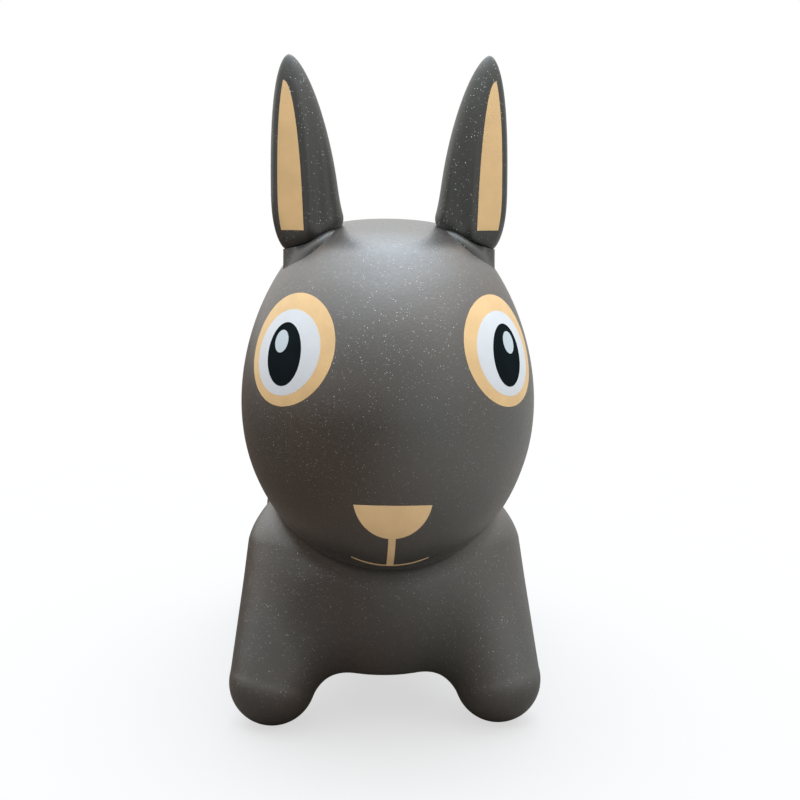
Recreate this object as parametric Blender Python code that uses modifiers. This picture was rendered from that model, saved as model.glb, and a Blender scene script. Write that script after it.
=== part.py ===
"""Inflatable hopping rabbit for a small child to sit and bounce on.

The real toy is one hollow moulding of soft vinyl: head, trunk, legs, tail and ears. Air goes in
through a valve seat in the belly, which a stepped plug closes. The face is printed on as thin films.
The ears, which the rider holds, bend at their narrow roots, so each blade and each root is a piece.

The rabbit faces -Y, +X is its left, +Z is up, and it stands on z = 0. All lengths are metres.
"""
import math

import bmesh
import bpy
import numpy as np
from mathutils import Matrix, Vector

TOY_NAME = "hopping_rabbit"

# Walls, gaps and finish of the surfaces
SKIN_WALL = 0.0022
EAR_WALL = 0.0020
SEAT_GAP = 0.0003
SETTLE_PROBE = 0.0001
SETTLE_LEAST_SLOPE = 0.1
PRESS_LEAST_SLOPE = 0.2
CUT_OVERRUN = 0.010
SHARP_ANGLE = math.radians(40)
BALL_SUBDIVISIONS = 4
VOXEL = 0.0075
EVENING_ROUNDS = 6
PRESS_ROUNDS = 12
DROP_ROUNDS = 40
OUTER_FACES = 4200
INNER_FACES = 1700

# Head, an egg with a flattened crown
HEAD_HALF_WIDTH = 0.1283
HEAD_HALF_DEPTH = 0.150
HEAD_HALF_HEIGHT = 0.160
HEAD_Y = -0.1336
HEAD_Z = 0.3212
CROWN_HEIGHT = 0.462
CROWN_SOFTENING = 0.0215
HEAD_NARROWING_SHARE = 0.106
NECK_CREASE = 0.018
MUZZLE_HALF_WIDTH = 0.080
MUZZLE_HALF_DEPTH = 0.078
MUZZLE_HALF_HEIGHT = 0.070
MUZZLE_FORWARD_SHARE = 1 / 3
MUZZLE_DOWN_SHARE = 0.4325
MUZZLE_Y = HEAD_Y - MUZZLE_FORWARD_SHARE * HEAD_HALF_DEPTH
MUZZLE_Z = HEAD_Z - MUZZLE_DOWN_SHARE * HEAD_HALF_HEIGHT
MUZZLE_BLEND = 0.040

# Trunk, from the chest to the rump
TRUNK_HALF_WIDTH = 0.102
TRUNK_HALF_LENGTH = 0.190
TRUNK_HALF_HEIGHT = 0.1045
TRUNK_Y = 0.0414
TRUNK_Z = 0.1575
CHEST_HALF_WIDTH = 0.103
CHEST_HALF_DEPTH = 0.100
CHEST_HALF_HEIGHT = 0.1225
CHEST_Y = -0.0786
CHEST_Z = 0.1325
RUMP_HALF_WIDTH = 0.099
RUMP_HALF_DEPTH = 0.098
RUMP_HALF_HEIGHT = 0.100
RUMP_Y = 0.1464
RUMP_Z = 0.152
TRUNK_BLEND = 0.050
BELLY_HEIGHT = 0.049
BELLY_SOFTENING = 0.009

# Legs, which splay outwards to round feet with a flat sole
FRONT_HIP_X = 0.0715
FRONT_HIP_Y = -0.0936
FRONT_HIP_Z = 0.1485
FRONT_FOOT_X = 0.1045
FRONT_FOOT_Y = -0.1325
REAR_HIP_X = 0.053
REAR_HIP_Y = 0.1464
REAR_HIP_Z = 0.136
REAR_FOOT_X = 0.096
REAR_FOOT_Y = 0.1664
HIP_RADIUS = 0.0565
FOOT_RADIUS = 0.040
SOLE_DEPTH = 0.0012
LEG_BLEND = 0.030

# Tail, which stands out from the rump
TAIL_RADIUS = 0.034
TAIL_STAND_OUT = 0.005
TAIL_Y = RUMP_Y + RUMP_HALF_DEPTH + TAIL_STAND_OUT
TAIL_Z = 0.190
TAIL_BLEND = 0.016

# Ears
EAR_HEIGHT = 0.1428
EAR_WIDTH = 0.0590
EAR_DEPTH = 0.052
EAR_OUT_SHARE = 0.554
EAR_BACK_SHARE = -0.06
EAR_X = EAR_OUT_SHARE * HEAD_HALF_WIDTH
EAR_Y = HEAD_Y + EAR_BACK_SHARE * HEAD_HALF_DEPTH
EAR_LEAN = math.radians(6)
EAR_TIP_SHIFT = 0.0140
EAR_LIP = 0.006
EAR_SCOOP = 0.005
EAR_SCOOP_TURN = math.radians(-68)
EAR_SCOOP_SPREAD = math.radians(30)
EAR_ROOT_SLOPE = math.radians(13.9)
EAR_ROOT_BOW = 0.0044
EAR_FULLNESS_SHARE = 0.58
EAR_DRIFT_SHARE = 1.5
LIP_TURN_SHARES = (0.0, 0.3, 0.65)
EAR_LAST_SHARE = 0.985
HOLLOW_LAST_SHARE = 0.93
EAR_RINGS = 11
EAR_FACETS = 24
ROOT_WIDTH = 0.050
ROOT_DEPTH = 0.041
ROOT_HEIGHT = 0.013
ROOT_FLARE = 0.002
ROOT_WALL = 0.003
ROOT_SINK = 0.030
ROOT_SHIFT = -0.004
HINGE_BACK = 0.0055

# Valve seat and plug in the belly
VALVE_Y = 0.0314
SEAT_FLANGE_RADIUS = 0.0125
SEAT_FLANGE_DEPTH = 0.0010
SEAT_RECESS_DEPTH = 0.0011
SEAT_BARREL_RADIUS = 0.0075
SEAT_BARREL_LENGTH = 0.014
SEAT_BORE_RADIUS = 0.0045
PLUG_HEAD_RADIUS = 0.0100
PLUG_HEAD_DEPTH = 0.0022
PLUG_STEM_RADIUS = 0.0042
PLUG_STEM_LENGTH = 0.0165
PLUG_TIP_RADIUS = 0.0030
PLUG_STEP = 0.0006
TURNED_STEPS = 32

# Printed films
FILM_GAP = 0.0003
EAR_FILM_GAP = 0.0006
FILM_THICKNESS = 0.0003
FILM_KERF = 0.0004
MERGE_DISTANCE = 0.000001
EYE_OUT_SHARE = 0.662
EYE_UP_SHARE = 0.2806
EYE_X = EYE_OUT_SHARE * HEAD_HALF_WIDTH
EYE_Z = HEAD_Z + EYE_UP_SHARE * HEAD_HALF_HEIGHT
EYE_SHIFT = 0.005
EYE_FACETS = 28
EYE_ROWS = 3
NOSE_FACETS = 13
NOSE_ROWS = 6
LIP_LINE_ROWS = 4
MOUTH_FACETS = 13
EAR_PRINT_ROWS = 11
EAR_PRINT_COLUMNS = 4

# Ovals of the eye: how far outwards and up from its centre, half width, half height, outward lean
RING_PLACE = (0.0108, 0.0029)
RING_HALF = (0.0520, 0.0472)
RING_LEAN = math.radians(11)
WHITE_PLACE = (0.0110, 0.0)
WHITE_HALF = (0.0400, 0.0357)
WHITE_LEAN = math.radians(13)
PUPIL_PLACE = (0.0120, -0.0018)
PUPIL_HALF = (0.0220, 0.0265)
PUPIL_LEAN = math.radians(15)
GLINT_PLACE = (0.0175, 0.0080)
GLINT_HALF = (0.0090, 0.0095)
GLINT_LEAN = math.radians(15)

# Nose, lip line and mouth, drawn on a plane that faces forwards and down
NOSE_RADIUS = 0.032
NOSE_CHORD_SHARE = 0.22
NOSE_DOWN_SHARE = 0.6494
NOSE_FOOT_Z = HEAD_Z - NOSE_DOWN_SHARE * HEAD_HALF_HEIGHT
NOSE_SHIFT = -0.002
MUZZLE_PITCH = math.radians(27)
LIP_LINE_WIDTH = 0.006
MOUTH_HALF_WIDTH = 0.0325
MOUTH_STROKE = 0.003
MOUTH_DROP = 0.010
MOUTH_BELOW_NOSE = 0.046
MOUTH_TAPER_SHARE = 0.5

# Ear prints
EAR_PRINT_WIDTH = 0.021
EAR_PRINT_MARGIN = 0.006
EAR_PRINT_FOOT_SHARE = 0.055
EAR_PRINT_TIP_SHARE = 0.87
EAR_PRINT_BULGE_SHARE = 2.6
EAR_PRINT_POINT_SHARE = 0.60

# Colours as fractions of full light
SKIN_COLOUR = (0.089, 0.084, 0.078)
TAN_COLOUR = (0.745, 0.503, 0.246)
WHITE_COLOUR = (0.753, 0.783, 0.815)
PUPIL_COLOUR = (0.010, 0.014, 0.016)
GLINT_COLOUR = (0.491, 0.571, 0.617)
VALVE_COLOUR = (0.700, 0.700, 0.680)
SKIN_ROUGHNESS = 0.42
PRINT_ROUGHNESS = 0.45
VALVE_ROUGHNESS = 0.35


def clear_scene():
    """Removes what the scene holds, so that the toy stands alone."""
    for thing in list(bpy.data.objects):
        bpy.data.objects.remove(thing, do_unlink=True)


def make_collection(name):
    """A collection of its own, linked to the scene."""
    collection = bpy.data.collections.new(name)
    bpy.context.scene.collection.children.link(collection)
    return collection


def make_material(name, colour, roughness):
    """A plain plastic finish."""
    material = bpy.data.materials.new(name)
    material.use_nodes = True
    shader = material.node_tree.nodes["Principled BSDF"]
    shader.inputs["Base Color"].default_value = (*colour, 1.0)
    shader.inputs["Roughness"].default_value = roughness
    shader.inputs["Metallic"].default_value = 0.0
    material.diffuse_color = (*colour, 1.0)
    return material


def ellipsoid_distance(points, centre, half_sizes):
    """Near distance of points to an ellipsoid, less than zero inside."""
    offset = points - np.array(centre)
    sizes = np.array(half_sizes)
    scaled = np.linalg.norm(offset / sizes, axis=-1)
    slope = np.linalg.norm(offset / sizes ** 2, axis=-1)
    return scaled * (scaled - 1.0) / np.maximum(slope, np.finfo(float).tiny)


def limb_distance(points, top, bottom, top_radius, bottom_radius):
    """Distance of points to a limb that tapers between two balls."""
    start = np.array(top)
    run = np.array(bottom) - start
    share = np.clip(((points - start) @ run) / (run @ run), 0.0, 1.0)
    middle = start + share[..., None] * run
    radius = top_radius + (bottom_radius - top_radius) * share
    return np.linalg.norm(points - middle, axis=-1) - radius


def melt(first, second, width):
    """Joins two distances with a fillet about as wide as said."""
    share = np.clip(0.5 + 0.5 * (second - first) / width, 0.0, 1.0)
    return second + (first - second) * share - width * share * (1.0 - share)


def head_distance(points):
    """The egg of the head, narrower towards the top, with a low muzzle and a flattened crown."""
    height_share = np.clip((points[..., 2] - HEAD_Z) / HEAD_HALF_HEIGHT, -1.0, 1.0)
    spread = points.copy()
    spread[..., 0] *= 1.0 + HEAD_NARROWING_SHARE * height_share
    egg = ellipsoid_distance(
        spread, (0.0, HEAD_Y, HEAD_Z), (HEAD_HALF_WIDTH, HEAD_HALF_DEPTH, HEAD_HALF_HEIGHT)
    )
    muzzle = ellipsoid_distance(
        points, (0.0, MUZZLE_Y, MUZZLE_Z), (MUZZLE_HALF_WIDTH, MUZZLE_HALF_DEPTH, MUZZLE_HALF_HEIGHT)
    )
    above_crown = points[..., 2] - CROWN_HEIGHT
    return -melt(-melt(egg, muzzle, MUZZLE_BLEND), -above_crown, CROWN_SOFTENING)


def skin_distance(points):
    """The whole skin: trunk, chest and rump, four legs, tail and head."""
    left = points.copy()
    left[..., 0] = np.abs(left[..., 0])
    body = ellipsoid_distance(
        points, (0.0, TRUNK_Y, TRUNK_Z), (TRUNK_HALF_WIDTH, TRUNK_HALF_LENGTH, TRUNK_HALF_HEIGHT)
    )
    chest = ellipsoid_distance(
        points, (0.0, CHEST_Y, CHEST_Z), (CHEST_HALF_WIDTH, CHEST_HALF_DEPTH, CHEST_HALF_HEIGHT)
    )
    rump = ellipsoid_distance(
        points, (0.0, RUMP_Y, RUMP_Z), (RUMP_HALF_WIDTH, RUMP_HALF_DEPTH, RUMP_HALF_HEIGHT)
    )
    body = melt(melt(body, chest, TRUNK_BLEND), rump, TRUNK_BLEND)
    below_belly = BELLY_HEIGHT - points[..., 2]
    body = -melt(-body, -below_belly, BELLY_SOFTENING)
    for top, bottom in leg_ends():
        body = melt(body, limb_distance(left, top, bottom, HIP_RADIUS, FOOT_RADIUS), LEG_BLEND)
    tail = np.linalg.norm(points - np.array((0.0, TAIL_Y, TAIL_Z)), axis=-1) - TAIL_RADIUS
    body = melt(body, tail, TAIL_BLEND)
    return melt(body, head_distance(points), NECK_CREASE)


def leg_ends():
    """Hip and foot centres of the two left legs, front and rear."""
    foot_z = FOOT_RADIUS - SOLE_DEPTH
    front = ((FRONT_HIP_X, FRONT_HIP_Y, FRONT_HIP_Z), (FRONT_FOOT_X, FRONT_FOOT_Y, foot_z))
    rear = ((REAR_HIP_X, REAR_HIP_Y, REAR_HIP_Z), (REAR_FOOT_X, REAR_FOOT_Y, foot_z))
    return front, rear


def steepest(distance, points):
    """Slope of a distance along X, Y and Z, by central differences."""
    columns = []
    for axis in range(3):
        step = np.zeros(3)
        step[axis] = SETTLE_PROBE
        columns.append(distance(points + step) - distance(points - step))
    return np.stack(columns, axis=-1) / (SETTLE_PROBE + SETTLE_PROBE)


def settle(distance, points, level, rounds=4):
    """Moves points along the slope until they lie at the level."""
    for _ in range(rounds):
        slope = steepest(distance, points)
        steepness = np.maximum((slope ** 2).sum(axis=-1), SETTLE_LEAST_SLOPE ** 2)
        reach = (distance(points) - level) / steepness
        points = points - reach[..., None] * slope
    return points


def mesh_points(mesh):
    """The vertices of a mesh as an array."""
    flat = np.empty(len(mesh.vertices) * 3)
    mesh.vertices.foreach_get("co", flat)
    return flat.reshape(-1, 3)


def put_points(mesh, points):
    """Writes an array of vertices back to a mesh."""
    mesh.vertices.foreach_set("co", np.asarray(points, dtype=np.float32).ravel())
    mesh.update()


def neighbour_mean(mesh, points):
    """Mean of the neighbours of each vertex, which evens out a mesh."""
    pairs = np.empty(len(mesh.edges) * 2, dtype=np.int32)
    mesh.edges.foreach_get("vertices", pairs)
    pairs = pairs.reshape(-1, 2)
    total = np.zeros_like(points)
    count = np.zeros(len(points))
    for here, there in ((0, 1), (1, 0)):
        np.add.at(total, pairs[:, here], points[pairs[:, there]])
        np.add.at(count, pairs[:, here], 1.0)
    return total / count[:, None]


def new_object(name, mesh, collection, material=None):
    """An object that shows a mesh."""
    thing = bpy.data.objects.new(name, mesh)
    collection.objects.link(thing)
    if material is not None:
        mesh.materials.append(material)
    return thing


def evaluated_copy(thing):
    """The mesh of an object with its modifiers carried out."""
    bpy.context.view_layer.update()
    graph = bpy.context.evaluated_depsgraph_get()
    return bpy.data.meshes.new_from_object(thing.evaluated_get(graph))


def finish_modifiers(thing):
    """Replaces an object's mesh by what its modifiers make of it."""
    mesh = evaluated_copy(thing)
    thing.modifiers.clear()
    old = thing.data
    thing.data = mesh
    bpy.data.meshes.remove(old)
    return thing


def add_ball(form, centre, half_sizes):
    """Adds an ellipsoid to a form."""
    place = Matrix.Translation(Vector(centre)) @ Matrix.Diagonal((*half_sizes, 1.0))
    bmesh.ops.create_icosphere(form, subdivisions=BALL_SUBDIVISIONS, radius=1.0, matrix=place)


def rough_forms(collection):
    """Trunk, legs, tail and head as overlapping round forms in one mesh."""
    form = bmesh.new()
    add_ball(form, (0.0, TRUNK_Y, TRUNK_Z), (TRUNK_HALF_WIDTH, TRUNK_HALF_LENGTH, TRUNK_HALF_HEIGHT))
    add_ball(form, (0.0, CHEST_Y, CHEST_Z), (CHEST_HALF_WIDTH, CHEST_HALF_DEPTH, CHEST_HALF_HEIGHT))
    add_ball(form, (0.0, RUMP_Y, RUMP_Z), (RUMP_HALF_WIDTH, RUMP_HALF_DEPTH, RUMP_HALF_HEIGHT))
    add_ball(form, (0.0, HEAD_Y, HEAD_Z), (HEAD_HALF_WIDTH, HEAD_HALF_DEPTH, HEAD_HALF_HEIGHT))
    add_ball(form, (0.0, TAIL_Y, TAIL_Z), (TAIL_RADIUS, TAIL_RADIUS, TAIL_RADIUS))
    for side in (1.0, -1.0):
        for top, bottom in leg_ends():
            limb = bmesh.new()
            add_ball(limb, (side * top[0], top[1], top[2]), (HIP_RADIUS, HIP_RADIUS, HIP_RADIUS))
            add_ball(limb, (side * bottom[0], bottom[1], bottom[2]), (FOOT_RADIUS,) * 3)
            hull = bmesh.ops.convex_hull(limb, input=limb.verts)
            inside = [part for part in hull["geom_interior"] if isinstance(part, bmesh.types.BMVert)]
            bmesh.ops.delete(limb, geom=inside, context="VERTS")
            mesh = bpy.data.meshes.new("limb")
            limb.to_mesh(mesh)
            limb.free()
            form.from_mesh(mesh)
            bpy.data.meshes.remove(mesh)
    mesh = bpy.data.meshes.new("rough_forms")
    form.to_mesh(mesh)
    form.free()
    return new_object("rough_forms", mesh, collection)


def skin_mesh(collection, level, faces):
    """One closed skin at a level of the blended forms, with about the number of faces said."""
    thing = rough_forms(collection)
    remesh = thing.modifiers.new("one_skin", "REMESH")
    remesh.mode = "VOXEL"
    remesh.voxel_size = VOXEL
    finish_modifiers(thing)
    points = mesh_points(thing.data)
    for _ in range(EVENING_ROUNDS):
        points = settle(skin_distance, points, level, rounds=2)
        points = 0.5 * (points + neighbour_mean(thing.data, points))
    put_points(thing.data, settle(skin_distance, points, level))
    decimate = thing.modifiers.new("fewer_faces", "DECIMATE")
    decimate.ratio = faces / (2.0 * len(thing.data.polygons))
    finish_modifiers(thing)
    put_points(thing.data, settle(skin_distance, mesh_points(thing.data), level))
    mesh = thing.data.copy()
    bpy.data.objects.remove(thing, do_unlink=True)
    return mesh


def hollow_mesh(outer, inner):
    """Outer and inner skins in one mesh, the inner one turned to face the hollow."""
    form = bmesh.new()
    form.from_mesh(inner)
    bmesh.ops.reverse_faces(form, faces=form.faces)
    form.from_mesh(outer)
    mesh = bpy.data.meshes.new("body_skin")
    form.to_mesh(mesh)
    form.free()
    return mesh


def add_cut(thing, cutter):
    """Cuts a tool's form out of an object."""
    cut = thing.modifiers.new("cut_" + cutter.name, "BOOLEAN")
    cut.operation = "DIFFERENCE"
    cut.solver = "EXACT"
    cut.object = cutter


def as_cutter(thing):
    """Marks an object as a tool that isn't part of the toy."""
    thing.hide_render = True
    thing.display_type = "WIRE"
    return thing


def box_cutter(name, low, high, collection):
    """A box between two corners."""
    low = Vector(low)
    high = Vector(high)
    form = bmesh.new()
    size = high - low
    place = Matrix.Translation((low + high) / 2) @ Matrix.Diagonal((*size, 1.0))
    bmesh.ops.create_cube(form, size=1.0, matrix=place)
    mesh = bpy.data.meshes.new(name)
    form.to_mesh(mesh)
    form.free()
    return as_cutter(new_object(name, mesh, collection))


def drum_cutter(name, centre, radius, depth, collection):
    """An upright cylinder that stands on its centre's height."""
    form = bmesh.new()
    place = Matrix.Translation(Vector(centre) + Vector((0.0, 0.0, depth / 2)))
    bmesh.ops.create_cone(
        form, cap_ends=True, segments=TURNED_STEPS, radius1=radius, radius2=radius, depth=depth,
        matrix=place,
    )
    mesh = bpy.data.meshes.new(name)
    form.to_mesh(mesh)
    form.free()
    return as_cutter(new_object(name, mesh, collection))


def loft(name, rings, close_ends=True):
    """Skins a list of rings of equal count. A ring of one point is a pole."""
    form = bmesh.new()
    rows = [[form.verts.new(Vector(point)) for point in ring] for ring in rings]
    for low, high in zip(rows, rows[1:]):
        count = max(len(low), len(high))
        for step in range(count):
            after = (step + 1) % count
            if len(low) == 1:
                form.faces.new((low[0], high[after], high[step]))
            elif len(high) == 1:
                form.faces.new((low[step], low[after], high[0]))
            else:
                form.faces.new((low[step], low[after], high[after], high[step]))
    if close_ends:
        for row in (rows[0], rows[-1]):
            if len(row) > 2:
                form.faces.new(row)
    return finished_mesh(name, form)


def finished_mesh(name, form):
    """Welds a form, turns its faces outwards, and shades it smooth."""
    bmesh.ops.remove_doubles(form, verts=form.verts, dist=MERGE_DISTANCE)
    bmesh.ops.recalc_face_normals(form, faces=form.faces)
    mesh = bpy.data.meshes.new(name)
    form.to_mesh(mesh)
    form.free()
    mesh.shade_smooth()
    mesh.set_sharp_from_angle(angle=SHARP_ANGLE)
    return mesh


def ear_half_width(share):
    """Half the ear's width at a share of its height: full at the lip, round at the tip."""
    return 0.5 * EAR_WIDTH * (1.0 - share * share) ** EAR_FULLNESS_SHARE


def ear_half_depth(share):
    """Half the ear's thickness at a share of its height."""
    return 0.5 * EAR_DEPTH * (1.0 - share * share) ** EAR_FULLNESS_SHARE


def underside(across):
    """Height of an ear's underside: it slopes down outwards and bows up at both ends."""
    return EAR_ROOT_BOW * (2.0 * across / EAR_WIDTH) ** 2 - across * math.tan(EAR_ROOT_SLOPE)


def ear_points(share, angles, inset, side):
    """Points of the ear's section at a share of its height, in the toy's own frame.

    The angle 0 looks outwards and -90 degrees forwards. The section is an oval, with a shallow
    scoop on its outer front, where the print lies. The tip drifts outwards.
    """
    half_width = max(ear_half_width(share) - inset, 0.0)
    half_depth = max(ear_half_depth(share) - inset, 0.0)
    turn = np.angle(np.exp(1j * (angles - EAR_SCOOP_TURN)))
    scoop_bell = np.exp(-((turn / EAR_SCOOP_SPREAD) ** 2))
    scoop = EAR_SCOOP * scoop_bell * math.sqrt(max(1.0 - share, 0.0))
    across = half_width * np.cos(angles) + EAR_TIP_SHIFT * share ** EAR_DRIFT_SHARE
    fore = half_depth * np.sin(angles) + scoop
    height = share * EAR_HEIGHT + underside(across) * (1.0 - share) ** 2
    return ear_to_toy(across, fore, height, side)


def ear_to_toy(across, fore, height, side):
    """Leans ear coordinates back and sets them on the head."""
    base = ear_base()
    lean_sin = math.sin(EAR_LEAN)
    lean_cos = math.cos(EAR_LEAN)
    x = side * (base[0] + across)
    y = base[1] + fore * lean_cos + height * lean_sin
    z = base[2] - fore * lean_sin + height * lean_cos
    return np.stack(np.broadcast_arrays(x, y, z), axis=-1)


def ear_base():
    """Where the left ear's underside lies: above the head by the height of the root."""
    below = np.array([[EAR_X, EAR_Y, HEAD_Z + HEAD_HALF_HEIGHT]])
    for _ in range(DROP_ROUNDS):
        below[0, 2] -= float(head_distance(below)[0])
    return EAR_X, EAR_Y, float(below[0, 2]) + ROOT_HEIGHT


def ring_angles(count):
    """Angles round a section."""
    return np.arange(count) * (2.0 * math.pi / count)


def oval(half_width, half_depth, height, side):
    """An oval ring round the ear's axis, sloped as the ear's underside is."""
    angles = ring_angles(EAR_FACETS)
    across = ROOT_SHIFT + half_width * np.cos(angles)
    fore = half_depth * np.sin(angles)
    return ear_to_toy(across, fore, height + underside(across), side)


def ear_blade(side):
    """The hollow blade: bore edge, underside, lip, outside to the tip, and the inside likewise."""
    angles = ring_angles(EAR_FACETS)
    bore_width = 0.5 * ROOT_WIDTH - ROOT_WALL
    bore_depth = 0.5 * ROOT_DEPTH - ROOT_WALL
    outside = [oval(bore_width, bore_depth, 0.0, side)]
    for turn_share in LIP_TURN_SHARES:
        turn = turn_share * math.pi / 2
        inset = EAR_LIP * (1.0 - math.sin(turn))
        share = EAR_LIP * (1.0 - math.cos(turn)) / EAR_HEIGHT
        outside.append(ear_points(share, angles, inset, side))
    first_share = EAR_LIP / EAR_HEIGHT
    for step in range(EAR_RINGS):
        rise = math.sin(0.5 * math.pi * step / (EAR_RINGS - 1))
        share = first_share + (EAR_LAST_SHARE - first_share) * rise
        outside.append(ear_points(share, angles, 0.0, side))
    outside.append(ear_points(1.0, np.zeros(1), 0.0, side))
    inside = [oval(bore_width, bore_depth, EAR_WALL, side)]
    floor_share = EAR_WALL / EAR_HEIGHT
    inside.append(ear_points(floor_share, angles, EAR_LIP, side))
    inside.append(ear_points(first_share, angles, EAR_WALL, side))
    for step in range(1, EAR_RINGS - 2):
        rise = math.sin(0.5 * math.pi * step / (EAR_RINGS - 3))
        share = first_share + (HOLLOW_LAST_SHARE - first_share) * rise
        inside.append(ear_points(share, angles, EAR_WALL, side))
    inside.append(ear_points(HOLLOW_LAST_SHARE + floor_share, np.zeros(1), ear_half_width(0.0), side))
    return loft("ear", list(reversed(inside)) + outside)


def ear_root_tube(side):
    """A short flared tube from inside the head to just under the ear."""
    wide = 0.5 * ROOT_WIDTH
    deep = 0.5 * ROOT_DEPTH
    top = -SEAT_GAP
    bottom = -(ROOT_HEIGHT + ROOT_SINK)
    mid = -0.5 * ROOT_HEIGHT
    low = -ROOT_HEIGHT
    rings = [
        oval(wide - ROOT_WALL, deep - ROOT_WALL, bottom, side),
        oval(wide + ROOT_FLARE, deep + ROOT_FLARE, bottom, side),
        oval(wide + ROOT_FLARE, deep + ROOT_FLARE, low, side),
        oval(wide, deep, mid, side),
        oval(wide, deep, top, side),
        oval(wide - ROOT_WALL, deep - ROOT_WALL, top, side),
    ]
    return loft("ear_root", rings + [rings[0]], close_ends=False)


def press(distance, points, direction, level):
    """Moves points along one direction until they lie at the level, as a printing pad does."""
    reach = np.zeros(points.shape[:-1])
    for _ in range(PRESS_ROUNDS):
        here = points + reach[..., None] * direction
        slope = steepest(distance, here) @ direction
        slope = np.where(np.abs(slope) < PRESS_LEAST_SLOPE, -PRESS_LEAST_SLOPE, slope)
        reach -= (distance(here) - level) / slope
    return points + reach[..., None] * direction


def film(name, plane_points, direction, distance, wrap):
    """A thin film: a grid of points pressed onto a form at two levels and closed round its rim."""
    lower = press(distance, plane_points, direction, FILM_GAP)
    upper = press(distance, plane_points, direction, FILM_GAP + FILM_THICKNESS)
    return film_mesh(name, lower, upper, wrap)


def film_mesh(name, lower, upper, wrap):
    """Closes the space between two like grids of points."""
    form = bmesh.new()
    rows, columns = lower.shape[:2]
    low = [[form.verts.new(Vector(point)) for point in row] for row in lower]
    high = [[form.verts.new(Vector(point)) for point in row] for row in upper]
    last = columns if wrap else columns - 1
    for row in range(rows - 1):
        for column in range(last):
            after = (column + 1) % columns
            for grid in (low, high):
                here = grid[row]
                above = grid[row + 1]
                form.faces.new((here[column], here[after], above[after], above[column]))
    for column in range(last):
        after = (column + 1) % columns
        form.faces.new((low[0][column], low[0][after], high[0][after], high[0][column]))
        form.faces.new((low[-1][after], low[-1][column], high[-1][column], high[-1][after]))
    if not wrap:
        for row in range(rows - 1):
            form.faces.new((low[row + 1][0], low[row][0], high[row][0], high[row + 1][0]))
            form.faces.new((low[row][-1], low[row + 1][-1], high[row + 1][-1], high[row][-1]))
    return finished_mesh(name, form)


def eye_frame(side):
    """Centre of an eye on the head, and the directions outwards, up and off its surface."""
    ahead = np.array([[EYE_X, HEAD_Y - HEAD_HALF_DEPTH, EYE_Z]])
    centre = press(head_distance, ahead, np.array((0.0, -1.0, 0.0)), 0.0)
    normal = steepest(head_distance, centre)[0]
    normal /= np.linalg.norm(normal)
    outwards = np.cross((0.0, 0.0, 1.0), normal)
    outwards /= np.linalg.norm(outwards)
    upwards = np.cross(normal, outwards)
    mirror = np.array((side, 1.0, 1.0))
    centre = centre[0] * mirror + (EYE_SHIFT, 0.0, 0.0)
    return centre, outwards * mirror, upwards * mirror, normal * mirror


def oval_outline(place, half, lean, growth):
    """Outline of an oval in the eye's plane, leaning outwards, grown by a margin."""
    angles = ring_angles(EYE_FACETS)
    across = (half[0] + growth) * np.cos(angles)
    along = (half[1] + growth) * np.sin(angles)
    out = place[0] + across * math.cos(lean) + along * math.sin(lean)
    up = place[1] - across * math.sin(lean) + along * math.cos(lean)
    return np.stack((out, up), axis=-1)


def eye_film(name, side, inner, outer):
    """The film between two outlines in the eye's plane."""
    centre, outwards, upwards, normal = eye_frame(side)
    shares = np.linspace(0.0, 1.0, EYE_ROWS)[:, None, None]
    flat = inner[None] * (1.0 - shares) + outer[None] * shares
    points = centre + flat[..., :1] * outwards + flat[..., 1:] * upwards
    return film(name, points, normal, head_distance, wrap=True)


def eye_films(side):
    """The four nested films of one eye, by the plain name of each."""
    glint_middle = np.broadcast_to(np.array(GLINT_PLACE), (EYE_FACETS, 2))
    ring = oval_outline(RING_PLACE, RING_HALF, RING_LEAN, 0.0)
    white = oval_outline(WHITE_PLACE, WHITE_HALF, WHITE_LEAN, 0.0)
    white_gap = oval_outline(WHITE_PLACE, WHITE_HALF, WHITE_LEAN, FILM_KERF)
    pupil = oval_outline(PUPIL_PLACE, PUPIL_HALF, PUPIL_LEAN, 0.0)
    pupil_gap = oval_outline(PUPIL_PLACE, PUPIL_HALF, PUPIL_LEAN, FILM_KERF)
    glint = oval_outline(GLINT_PLACE, GLINT_HALF, GLINT_LEAN, 0.0)
    glint_gap = oval_outline(GLINT_PLACE, GLINT_HALF, GLINT_LEAN, FILM_KERF)
    return {
        "eye_ring": eye_film("eye_ring", side, white_gap, ring),
        "eye_white": eye_film("eye_white", side, pupil_gap, white),
        "pupil": eye_film("pupil", side, glint_gap, pupil),
        "eye_glint": eye_film("eye_glint", side, glint_middle, glint),
    }


def muzzle_film(name, across, up):
    """A film on the muzzle from its places across and up, the foot of the nose being zero."""
    forwards = np.array((0.0, -math.cos(MUZZLE_PITCH), -math.sin(MUZZLE_PITCH)))
    upwards = np.array((0.0, -math.sin(MUZZLE_PITCH), math.cos(MUZZLE_PITCH)))
    ahead = np.array([[0.0, HEAD_Y - HEAD_HALF_DEPTH, NOSE_FOOT_Z]])
    foot = press(head_distance, ahead, np.array((0.0, -1.0, 0.0)), 0.0)[0] + (NOSE_SHIFT, 0.0, 0.0)
    sideways = np.array((1.0, 0.0, 0.0))
    points = foot + across[..., None] * sideways + up[..., None] * upwards
    return film(name, points, forwards, head_distance, wrap=False)


def nose_half_width(depth_share):
    """Half the nose's width below its flat top: an ellipse cut by a chord above its centre."""
    share = NOSE_CHORD_SHARE + (1.0 - NOSE_CHORD_SHARE) * depth_share
    return NOSE_RADIUS * np.sqrt((1.0 - share ** 2) / (1.0 - NOSE_CHORD_SHARE ** 2))


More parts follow.
